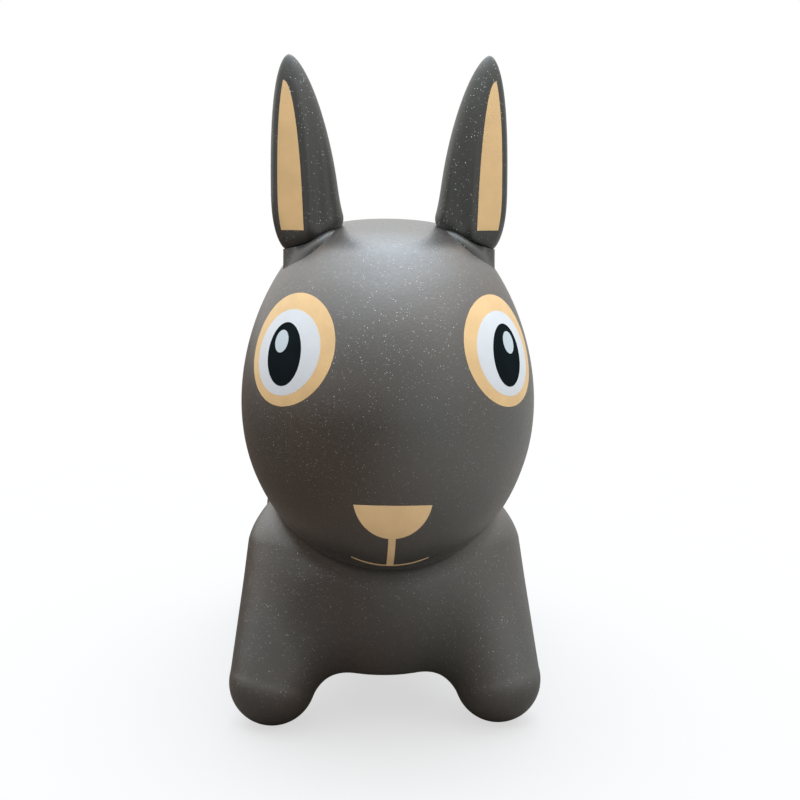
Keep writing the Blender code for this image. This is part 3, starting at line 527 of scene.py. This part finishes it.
def ear_surface(share, angles, inset, side, proud=0.0):
    """Points of an ear at shares of its height and angles round it.

    Angle 0 looks outwards and -90 degrees forwards. The section is an oval with a scoop in its
    outer front and the relief of its panel. The tip drifts outwards with share ^ drift. Near the
    foot the inner side swells and the outer side draws in, with (1 - share / foot share) ^ power.
    The inset draws the section in, and proud brings it forwards.
    """
    foot = np.maximum(1.0 - share / EAR_FOOT_SHARE, 0.0) ** EAR_FOOT_POWER
    flare = foot * np.where(np.cos(angles) < 0.0, EAR_FOOT_WIDENING, -EAR_FOOT_TAPER)
    half_width = np.maximum(ear_half(EAR_WIDTH, share) - inset + flare, 0.0)
    half_depth = np.maximum(ear_half(EAR_DEPTH, share) - inset, 0.0)
    turn = np.angle(np.exp(1j * (angles - EAR_SCOOP_TURN)))
    scoop = EAR_SCOOP * bell(turn, EAR_SCOOP_SPREAD) * np.sqrt(np.maximum(1.0 - share, 0.0))
    out = half_width * np.cos(angles)
    front = np.maximum(-np.sin(angles), 0.0)
    relief = ear_relief(share, out, front)
    across = out + EAR_TIP_SHIFT * share ** EAR_DRIFT_POWER
    fore = half_depth * np.sin(angles) + scoop + relief - proud
    height = share * EAR_HEIGHT + underside(across) * (1.0 - share) ** 2
    return ear_to_toy(across, fore, height, side)


def ear_base():
    """Middle of an ear's underside: above the head by the height of the root."""
    below = np.array([[EAR_X, EAR_Y, HEAD_CENTRE[2] + HEAD_HALF_SIZES[2]]])
    down = np.array((0.0, 0.0, -1.0))
    return press(head_distance, below, down, 0.0)[0] - ROOT_HEIGHT * down


def ear_to_toy(across, fore, height, side):
    """Leans ear coordinates back by the ear's lean, and sets them on the head."""
    base = ear_base()
    x = side * (base[0] + across)
    y = base[1] + fore * math.cos(EAR_LEAN) + height * math.sin(EAR_LEAN)
    z = base[2] - fore * math.sin(EAR_LEAN) + height * math.cos(EAR_LEAN)
    return np.stack(np.broadcast_arrays(x, y, z), axis=-1)


def ear_root(angles, side):
    """Rows of a root, from the head up to the ear's underside.

    Each column is a quadratic arc: from the foot on the head, over a corner, to the root's top.
    The corner lies on the head below the top, which makes a hollow fillet. In front it stands
    above the foot instead, and the foot further out, which makes the full bulge of the root.
    """
    out = 0.5 * ROOT_WIDTH * np.cos(angles)
    fore = 0.5 * ROOT_DEPTH * np.sin(angles)
    across = ROOT_SHIFT + out
    top = ear_to_toy(across, fore, underside(across), 1.0)
    down = np.array((0.0, -math.sin(EAR_LEAN), -math.cos(EAR_LEAN)))
    corner = press(head_distance, top, down, 0.0)
    turn = np.angle(np.exp(1j * (angles - ROOT_FRONT_TURN)))
    front = bell(turn, ROOT_FRONT_BELL)[:, None]
    outwards = np.stack((np.cos(angles), np.sin(angles), 0.0 * angles), axis=-1)
    spread = ROOT_SPREAD + ROOT_FRONT_SPREAD * front
    foot = settle(head_distance, corner + spread * outwards, -FOOT_SINK)
    corner = corner + front * (foot - ROOT_SWELL * down - corner)
    share = np.linspace(0.0, 1.0, ROOT_ROWS)[:, None, None]
    rows = foot * (1.0 - share) ** 2 + 2.0 * corner * share * (1.0 - share) + top * share ** 2
    return rows * np.array((side, 1.0, 1.0))


def moulded_ear(word, side, material):
    """An ear with its root: rows up the root, round the lip and up to the tip.

    A point below the root, inside the head, closes the surface.
    """
    angles = np.arange(EAR_COLUMNS) * (2.0 * math.pi / EAR_COLUMNS)
    root = ear_root(angles, side)
    turn = np.linspace(0.0, 0.5 * math.pi, LIP_ROWS)[:, None]
    lip_share = LIP_HEIGHT * (1.0 - np.cos(turn)) / EAR_HEIGHT
    inset = LIP_INSET * (1.0 - np.sin(turn))
    inset = inset * (1.0 - LIP_OUTER_SHARE * np.maximum(np.cos(angles), 0.0))
    lip = ear_surface(lip_share, angles, inset, side)
    rise = np.linspace(0.0, 0.5 * math.pi, BLADE_ROWS)[1:, None]
    first = LIP_HEIGHT / EAR_HEIGHT
    blade = ear_surface(first + (1.0 - first) * np.sin(rise), angles, 0.0, side)
    foot_middle = np.broadcast_to(root[0].mean(axis=0) - (0.0, 0.0, ROOT_HEIGHT), root[0].shape)
    rows = np.concatenate((foot_middle[None], root, lip, blade))
    index = np.arange(rows.shape[0] * EAR_COLUMNS).reshape(rows.shape[0], EAR_COLUMNS)
    index = np.hstack((index, index[:, :1]))
    ear = put_piece("moulded_ear_" + word, rows, quads_of(index), material, weld=EAR_WELD)
    bend_with_ear(ear, side)
    return ear


def bend_with_ear(piece, side):
    """Works out the ear's base, which nothing uses, and bakes the piece's placement into its points."""
    base = ear_base() * np.array((side, 1.0, 1.0))
    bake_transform(piece)


def film(name, upper, lower, wrap, material):
    """A closed film between two like grids of points, which may run round into themselves."""
    rows, columns = upper.shape[:2]
    total = rows * columns
    index = np.arange(total).reshape(rows, columns)
    if wrap:
        index = np.hstack((index, index[:, :1]))
    borders = [index[0, ::-1], index[-1]]
    if not wrap:
        borders += [index[:, 0], index[::-1, -1]]
    top = quads_of(index)
    faces = [top, top[:, ::-1] + total]
    for line in borders:
        faces.append(np.stack((line[:-1], line[1:], line[1:] + total, line[:-1] + total), axis=-1))
    points = np.concatenate((upper.reshape(-1, 3), lower.reshape(-1, 3)))
    return put_piece(name, points, np.concatenate(faces), material, weld=FILM_WELD)


def pressed_film(name, points, direction, wrap, material, layer=0):
    """A film of points pressed onto the head, a step higher for each layer of ink below it."""
    upper = press(head_distance, points, direction, INK_RISE + layer * INK_STEP)
    lower = press(head_distance, points, direction, -INK_SINK)
    return film(name, upper, lower, wrap, material)


def eye_frame(side):
    """Centre of an eye on the head, and the directions outwards, up and off its surface."""
    ahead = np.array([[EYE_X, HEAD_CENTRE[1] - HEAD_HALF_SIZES[1], EYE_Z]])
    centre = press(head_distance, ahead, np.array((0.0, -1.0, 0.0)), 0.0)
    normal = steepest(head_distance, centre)[0]
    normal /= np.linalg.norm(normal)
    outwards = np.cross((0.0, 0.0, 1.0), normal)
    outwards /= np.linalg.norm(outwards)
    upwards = np.cross(normal, outwards)
    mirror = np.array((side, 1.0, 1.0))
    centre = centre[0] * mirror + (EYE_SHIFT, 0.0, 0.0)
    return centre, outwards * mirror, upwards * mirror, normal * mirror


def oval_outline(place, half, lean, growth=0.0):
    """Outline of an oval in the eye's plane, turned outwards by its lean and grown by a margin."""
    angles = np.arange(EYE_COLUMNS) * (2.0 * math.pi / EYE_COLUMNS)
    across = (half[0] + growth) * np.cos(angles)
    along = (half[1] + growth) * np.sin(angles)
    out = place[0] + across * math.cos(lean) + along * math.sin(lean)
    up = place[1] - across * math.sin(lean) + along * math.cos(lean)
    return np.stack((out, up), axis=-1)


def eye_prints(word, side, inks):
    """Ring, white, pupil and glint of one eye, each printed over the edge of the one round it."""
    centre, outwards, upwards, normal = eye_frame(side)
    middle = np.broadcast_to(np.array(GLINT_PLACE), (EYE_COLUMNS, 2))
    outlines = (
        ("eye_ring", oval_outline(WHITE_PLACE, WHITE_HALF, WHITE_LEAN, -INK_OVERLAP),
         oval_outline(RING_PLACE, RING_HALF, RING_LEAN)),
        ("eye_white", oval_outline(PUPIL_PLACE, PUPIL_HALF, PUPIL_LEAN, -INK_OVERLAP),
         oval_outline(WHITE_PLACE, WHITE_HALF, WHITE_LEAN)),
        ("pupil", oval_outline(GLINT_PLACE, GLINT_HALF, GLINT_LEAN, -INK_OVERLAP),
         oval_outline(PUPIL_PLACE, PUPIL_HALF, PUPIL_LEAN)),
        ("eye_glint", middle, oval_outline(GLINT_PLACE, GLINT_HALF, GLINT_LEAN)),
    )
    shares = np.linspace(0.0, 1.0, EYE_ROWS)[:, None, None]
    for layer, (name, inner, outer) in enumerate(outlines):
        flat = inner * (1.0 - shares) + outer * shares
        points = centre + flat[..., :1] * outwards + flat[..., 1:] * upwards
        slot, material = inks[name]
        piece = pressed_film(name + "_ink_" + word, points, normal, True, material, layer)
        finish_piece(piece, "skin", slot, name + "_" + word)


def muzzle_points(across, up):
    """Places across and up a plane that faces forwards and down, the nose's foot being zero."""
    upwards = np.array((0.0, -math.sin(MUZZLE_PITCH), math.cos(MUZZLE_PITCH)))
    ahead = np.array([[0.0, HEAD_CENTRE[1] - HEAD_HALF_SIZES[1], NOSE_FOOT_Z]])
    foot = press(head_distance, ahead, np.array((0.0, -1.0, 0.0)), 0.0)[0] + (NOSE_SHIFT, 0.0, 0.0)
    across, up = np.broadcast_arrays(across, up)
    return foot + across[..., None] * np.array((1.0, 0.0, 0.0)) + up[..., None] * upwards


def nose_half_width(depth_share):
    """Half the nose's width below its top: an ellipse cut by a chord above its centre."""
    share = NOSE_CHORD_SHARE + (1.0 - NOSE_CHORD_SHARE) * depth_share
    return NOSE_RADIUS * np.sqrt((1.0 - share ** 2) / (1.0 - NOSE_CHORD_SHARE ** 2))


def mouth_height(across):
    """Height of the mouth's line: a parabola with its ends up."""
    return -MOUTH_BELOW_NOSE + MOUTH_DROP * (across / MOUTH_HALF_WIDTH) ** 2


def muzzle_prints(tan):
    """Nose, lip line and mouth, in a lighter copy of the tan: painted light for their downward face. The
    nose's top is arched a little, so that it looks straight.
    """
    forwards = np.array((0.0, -math.cos(MUZZLE_PITCH), -math.sin(MUZZLE_PITCH)))
    depth_share = np.sin(np.linspace(0.0, 0.5 * math.pi, NOSE_ROWS))[:, None]
    side_share = np.linspace(-1.0, 1.0, NOSE_COLUMNS)
    crown = NOSE_RADIUS + NOSE_CROWN * (1.0 - side_share ** 2)
    nose = muzzle_points(nose_half_width(depth_share) * side_share, crown * (1.0 - depth_share))
    across = LIP_LINE_WIDTH * np.linspace(-0.5, 0.5, LIP_LINE_COLUMNS)
    down = np.linspace(0.0, 1.0, NOSE_ROWS)[:, None]
    lip_line = muzzle_points(across, INK_OVERLAP * (1.0 - down) + mouth_height(across) * down)
    share = np.linspace(-1.0, 1.0, MOUTH_COLUMNS)
    stroke = MOUTH_STROKE * (1.0 - MOUTH_TAPER_SHARE * share ** 4)
    stroke = stroke * np.linspace(-0.5, 0.5, MOUTH_ROWS)[:, None]
    across = MOUTH_HALF_WIDTH * share
    mouth = muzzle_points(across, mouth_height(across) + stroke)
    for layer, (name, points) in enumerate((("nose", nose), ("lip_line", lip_line), ("mouth", mouth))):
        piece = pressed_film(name + "_ink", points, forwards, False, tan, layer)
        finish_piece(piece, "skin", "tan_print", name + "_print")


def ear_strip(word, side, tan):
    """The tall print in an ear's panel, with its rows made level against the slanting underside."""
    share = np.linspace(EAR_PRINT_FOOT_SHARE, EAR_PRINT_TIP_SHARE, EAR_PRINT_ROWS)[:, None]
    inner, outer = ear_print_edges(share)
    out = inner + (outer - inner) * np.linspace(0.0, 1.0, EAR_PRINT_COLUMNS)
    rise = share * EAR_HEIGHT + underside(EAR_PRINT_MIDDLE) * (1.0 - share) ** 2
    for _ in range(LEVEL_ROUNDS):
        share = (rise - underside(out) * (1.0 - share) ** 2) / EAR_HEIGHT
    angles = -np.arccos(np.clip(out / ear_half(EAR_WIDTH, share), -1.0, 1.0))
    upper = ear_surface(share, angles, 0.0, side, proud=INK_RISE)
    lower = ear_surface(share, angles, 0.0, side, proud=-INK_SINK)
    strip = film("ear_ink_" + word, upper, lower, False, tan)
    bend_with_ear(strip, side)
    finish_piece(strip, None, "tan_print", "ear_print_" + word)


def finish_piece(piece, body, slot, *nodes):
    """Attaches a piece to the body that it moves with, and hides the solids that it stands for. The slot
    is not used.
    """
    if body:
        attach(piece, body)
    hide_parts(*nodes)


def new_material(name):
    """A material with its shader and the node that gives Object coordinates."""
    material = bpy.data.materials.new(name)
    material.use_nodes = True
    tree = material.node_tree
    place = tree.nodes.new("ShaderNodeTexCoord").outputs["Object"]
    return material, tree, tree.nodes["Principled BSDF"], place


def add_noise(tree, place, scale, detail):
    """A noise of features about 1 / scale long."""
    noise = tree.nodes.new("ShaderNodeTexNoise")
    noise.inputs["Scale"].default_value = scale
    noise.inputs["Detail"].default_value = detail
    tree.links.new(place, noise.inputs["Vector"])
    return noise.outputs["Fac"]


def add_range(tree, value, old, new):
    """Maps one range of a value onto another."""
    ranger = tree.nodes.new("ShaderNodeMapRange")
    tree.links.new(value, ranger.inputs["Value"])
    ranger.inputs["From Min"].default_value, ranger.inputs["From Max"].default_value = old
    ranger.inputs["To Min"].default_value, ranger.inputs["To Max"].default_value = new
    return ranger.outputs["Result"]


def add_math(tree, operation, *values):
    """A sum on values, each given as a number or as a socket."""
    node = tree.nodes.new("ShaderNodeMath")
    node.operation = operation
    for socket, value in zip(node.inputs, values):
        if isinstance(value, float):
            socket.default_value = value
        else:
            tree.links.new(value, socket)
    return node.outputs["Value"]


def add_vector_math(tree, operation, *values):
    """A sum on vectors, each given as numbers or as a socket."""
    node = tree.nodes.new("ShaderNodeVectorMath")
    node.operation = operation
    for socket, value in zip(node.inputs, values):
        if isinstance(value, tuple):
            socket.default_value = value
        else:
            tree.links.new(value, socket)
    return node.outputs["Value" if operation in ("LENGTH", "DOT_PRODUCT") else "Vector"]


def add_mix(tree, share, first, second):
    """Mixes two colours, each given as numbers or as a socket."""
    mixer = tree.nodes.new("ShaderNodeMix")
    mixer.data_type = "RGBA"
    tree.links.new(share, mixer.inputs[0])
    for socket, colour in ((mixer.inputs[6], first), (mixer.inputs[7], second)):
        if isinstance(colour, tuple):
            socket.default_value = (*colour, 1.0)
        else:
            tree.links.new(colour, socket)
    return mixer.outputs[2]


def finish_with_mix(tree, share, first, second):
    """Gives a material a mix of two shaders as its surface."""
    both = tree.nodes.new("ShaderNodeMixShader")
    tree.links.new(share, both.inputs["Fac"])
    tree.links.new(first, both.inputs[1])
    tree.links.new(second, both.inputs[2])
    tree.links.new(both.outputs["Shader"], tree.nodes["Material Output"].inputs["Surface"])


def add_bump(tree, height, strength, distance, below=None):
    """A bump from a height, over the bump below it."""
    bump = tree.nodes.new("ShaderNodeBump")
    bump.inputs["Strength"].default_value = strength
    bump.inputs["Distance"].default_value = distance
    tree.links.new(height, bump.inputs["Height"])
    if below is not None:
        tree.links.new(below, bump.inputs["Normal"])
    return bump.outputs["Normal"]


def add_roughness(tree, place, shader, noise, span):
    """Roughness that wanders between two values."""
    rough = add_range(tree, add_noise(tree, place, *noise), ROUGH_SPAN, span)
    tree.links.new(rough, shader.inputs["Roughness"])


def add_relief(tree, place, reliefs):
    """Normals of some layers of noise, each over the one before."""
    normal = None
    for scale, detail, strength, depth in reliefs:
        normal = add_bump(tree, add_noise(tree, place, scale, detail), strength, depth, normal)
    return normal


def flaked_vinyl(name, warm, cool, shine):
    """Dark soft vinyl with silver flakes in it, each flake a small mirror tilted its own way.

    Its relief is a slow waviness, a leathery grain and a fine tooth. A flake sits in the middle of
    each cell of a cell pattern that is chosen by its random colour, which also tilts the flake.
    """
    material, tree, vinyl, place = new_material(name)
    tone = add_range(tree, add_noise(tree, place, *VINYL_TONE), CLOUD_SPAN, (0.0, 1.0))
    tree.links.new(add_mix(tree, tone, warm, cool), vinyl.inputs["Base Color"])
    add_roughness(tree, place, vinyl, VINYL_ROUGH, VINYL_ROUGHNESS)
    vinyl.inputs["Specular IOR Level"].default_value = shine
    vinyl.inputs["IOR"].default_value = VINYL_BENDING
    normal = add_relief(tree, place, VINYL_RELIEF)
    tree.links.new(normal, vinyl.inputs["Normal"])
    cells = tree.nodes.new("ShaderNodeTexVoronoi")
    cells.inputs["Scale"].default_value = FLAKE_SCALE
    tree.links.new(place, cells.inputs["Vector"])
    near = add_range(tree, cells.outputs["Distance"], FLAKE_RADII, (1.0, 0.0))
    lot = tree.nodes.new("ShaderNodeSeparateColor")
    tree.links.new(cells.outputs["Color"], lot.inputs["Color"])
    chosen = add_range(tree, lot.outputs["Blue"], FLAKE_CHOICE, (0.0, 1.0))
    tilt = (FLAKE_TILT,) * 3
    level = (-0.5 * FLAKE_TILT,) * 3
    turned = add_vector_math(tree, "MULTIPLY_ADD", cells.outputs["Color"], tilt, level)
    turned = add_vector_math(tree, "NORMALIZE", add_vector_math(tree, "ADD", turned, normal))
    flake = tree.nodes.new("ShaderNodeBsdfPrincipled")
    flake.inputs["Base Color"].default_value = (*FLAKE_SILVER, 1.0)
    flake.inputs["Metallic"].default_value = 1.0
    flake.inputs["Roughness"].default_value = FLAKE_ROUGHNESS
    tree.links.new(turned, flake.inputs["Normal"])
    share = add_math(tree, "MULTIPLY", near, chosen)
    finish_with_mix(tree, share, vinyl.outputs["BSDF"], flake.outputs["BSDF"])
    return material


def ink(name, colour, depth_share=INK_DEPTH_SHARE, shine=INK_SHINE):
    """A sprayed ink: a slightly cloudy colour that takes the relief of the vinyl under it."""
    material, tree, shader, place = new_material(name)
    deep = tuple(part * depth_share for part in colour)
    cloud = add_range(tree, add_noise(tree, place, *INK_CLOUD), CLOUD_SPAN, (0.0, 1.0))
    tree.links.new(add_mix(tree, cloud, deep, colour), shader.inputs["Base Color"])
    shader.inputs["Specular IOR Level"].default_value = shine
    add_roughness(tree, place, shader, INK_ROUGH, INK_ROUGHNESS)
    tree.links.new(add_relief(tree, place, VINYL_RELIEF), shader.inputs["Normal"])
    return material


def valve_plastic():
    """Smooth white plastic with faint moulding marks."""
    material, tree, shader, place = new_material("valve_plastic")
    cloud = add_noise(tree, place, *PLASTIC_CLOUD)
    tree.links.new(add_mix(tree, cloud, PLASTIC_DARK, PLASTIC_PALE), shader.inputs["Base Color"])
    add_roughness(tree, place, shader, PLASTIC_ROUGH, PLASTIC_ROUGHNESS)
    tree.links.new(add_relief(tree, place, (PLASTIC_RELIEF,)), shader.inputs["Normal"])
    return material


def pale_floor():
    """A pale floor with the rabbit's shadow, which turns to plain white farther out.

    The camera sees one colour. The rabbit gets the light of a darker floor, darkest on its right.
    """
    material, tree, shader, place = new_material("pale_floor")
    shader.inputs["Roughness"].default_value = FLOOR_ROUGHNESS
    shader.inputs["Specular IOR Level"].default_value = 0.0
    seen = tree.nodes.new("ShaderNodeLightPath").outputs["Is Camera Ray"]
    across = tree.nodes.new("ShaderNodeSeparateXYZ")
    tree.links.new(place, across.inputs["Vector"])
    left = add_range(tree, across.outputs["X"], FLOOR_ACROSS, (0.0, 1.0))
    felt = add_mix(tree, left, FLOOR_FELT_RIGHT, FLOOR_FELT_LEFT)
    tree.links.new(add_mix(tree, seen, felt, FLOOR_SEEN), shader.inputs["Base Color"])
    far = add_range(tree, add_vector_math(tree, "LENGTH", place), FLOOR_FADE, FLOOR_GLOW)
    white = tree.nodes.new("ShaderNodeEmission")
    share = add_math(tree, "MULTIPLY", far, seen)
    finish_with_mix(tree, share, shader.outputs["BSDF"], white.outputs["Emission"])
    return material


def add_floor():
    """A wide flat floor."""
    corners = FLOOR_REACH * np.array(((-1.0, -1.0, 0.0), (1.0, -1.0, 0.0), (1.0, 1.0, 0.0),
                                      (-1.0, 1.0, 0.0)))
    mesh = bpy.data.meshes.new("floor")
    mesh.from_pydata(corners.tolist(), [], [(0, 1, 2, 3)])
    mesh.materials.append(pale_floor())
    floor = bpy.data.objects.new("floor", mesh)
    bpy.context.scene.collection.objects.link(floor)


def add_lamp():
    """A weak, soft square lamp from the rabbit's left front."""
    lamp = bpy.data.lights.new("key", "AREA")
    lamp.shape = "SQUARE"
    lamp.size = LAMP_SIZE
    lamp.energy = LAMP_POWER
    lamp.color = LAMP_COLOUR
    thing = bpy.data.objects.new("key", lamp)
    thing.location = LAMP_PLACE
    ahead = Vector(LAMP_TARGET) - Vector(LAMP_PLACE)
    thing.rotation_euler = ahead.to_track_quat("-Z", "Y").to_euler()
    bpy.context.scene.collection.objects.link(thing)


def add_world():
    """A studio dome that is white to the camera, a little stronger on the rabbit's left (+X).

    Strength is (low + rise x share) x (1 + side x X), plus the window's rise x its share. A share
    is the cosine of the angle from the pole, or from the window's middle, raised to a power.
    """
    world = bpy.data.worlds.new("studio")
    bpy.context.scene.world = world
    world.use_nodes = True
    tree = world.node_tree
    sky = tree.nodes["Background"]
    direction = tree.nodes.new("ShaderNodeTexCoord").outputs["Generated"]
    across = tree.nodes.new("ShaderNodeSeparateXYZ")
    tree.links.new(direction, across.inputs["Vector"])
    above = add_vector_math(tree, "DOT_PRODUCT", direction, DOME_POLE)
    share = add_math(tree, "POWER", add_math(tree, "MAXIMUM", above, 0.0), DOME_POWER)
    glow = add_math(tree, "MULTIPLY_ADD", share, DOME_RISE, DOME_LOW)
    side = add_math(tree, "MULTIPLY_ADD", across.outputs["X"], DOME_SIDE, 1.0)
    aside = add_vector_math(tree, "DOT_PRODUCT", direction, WINDOW_DIRECTION)
    window = add_math(tree, "POWER", add_math(tree, "MAXIMUM", aside, 0.0), WINDOW_POWER)
    light = add_math(tree, "MULTIPLY_ADD", window, WINDOW_RISE, add_math(tree, "MULTIPLY", glow, side))
    seen = tree.nodes.new("ShaderNodeLightPath").outputs["Is Camera Ray"]
    strength = tree.nodes.new("ShaderNodeMix")
    tree.links.new(seen, strength.inputs[0])
    tree.links.new(light, strength.inputs[2])
    strength.inputs[3].default_value = 1.0
    tint = add_mix(tree, share, DOME_LOW_TINT, DOME_HIGH_TINT)
    tree.links.new(add_mix(tree, seen, tint, (1.0, 1.0, 1.0)), sky.inputs["Color"])
    tree.links.new(strength.outputs[0], sky.inputs["Strength"])


def add_camera():
    """The camera at the photograph's angle."""
    camera = bpy.data.cameras.new("camera")
    camera.sensor_width = CAMERA_SENSOR
    camera.lens = CAMERA_LENS
    camera.shift_x, camera.shift_y = CAMERA_SHIFT
    back = Vector((
        math.sin(CAMERA_YAW) * math.cos(CAMERA_ELEVATION),
        -math.cos(CAMERA_YAW) * math.cos(CAMERA_ELEVATION),
        math.sin(CAMERA_ELEVATION),
    ))
    thing = bpy.data.objects.new("camera", camera)
    thing.location = CAMERA_TARGET + CAMERA_DISTANCE * back
    turn = (-back).to_track_quat("-Z", "Y") @ Quaternion((0.0, 0.0, 1.0), CAMERA_ROLL)
    thing.rotation_euler = turn.to_euler()
    bpy.context.scene.collection.objects.link(thing)
    bpy.context.scene.camera = thing


def add_studio():
    """Camera, floor, world and lamp."""
    add_camera()
    add_floor()
    add_world()
    add_lamp()
    bpy.context.scene.view_settings.view_transform = "Standard"


def dress():
    """Makes every visible piece."""
    vinyl = flaked_vinyl("charcoal_vinyl", CHARCOAL_WARM, CHARCOAL, VINYL_SHINE)
    # The ears and their roots get a darker, less shiny copy of the vinyl: painted shade
    shaded_ear_vinyl = flaked_vinyl("shaded_ear_vinyl", CHARCOAL, EAR_SHADE_CHARCOAL, EAR_SHADE_SHINE)
    tan = ink("tan_ink", TAN)
    inks = {
        "eye_ring": ("tan_print", tan),
        "eye_white": ("white_print", ink("white_ink", WHITE, PALE_DEPTH_SHARE)),
        "pupil": ("black_print", ink("black_ink", PUPIL_BLACK, PUPIL_DEPTH_SHARE, PUPIL_SHINE)),
        "eye_glint": ("pale_print", ink("pale_ink", GLINT_BLUE, PALE_DEPTH_SHARE)),
    }
    finish_piece(moulded_skin(vinyl), "skin", "skin", "body_skin")
    for word, side in (("left", 1.0), ("right", -1.0)):
        ear = moulded_ear(word, side, shaded_ear_vinyl)
        finish_piece(ear, None, "skin", "ear_" + word, "ear_root_" + word)
        ear_strip(word, side, tan)
        eye_prints(word, side, inks)
    # The muzzle's prints get a lighter copy of the tan: painted light
    muzzle_prints(ink("lit_muzzle_ink", LIT_MUZZLE_TAN))
    plastic = valve_plastic()
    for node, finish in (("valve_insert", vinyl), ("valve_plug", plastic)):
        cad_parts[node].data.materials.clear()
        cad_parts[node].data.materials.append(finish)


add_studio()
dress()
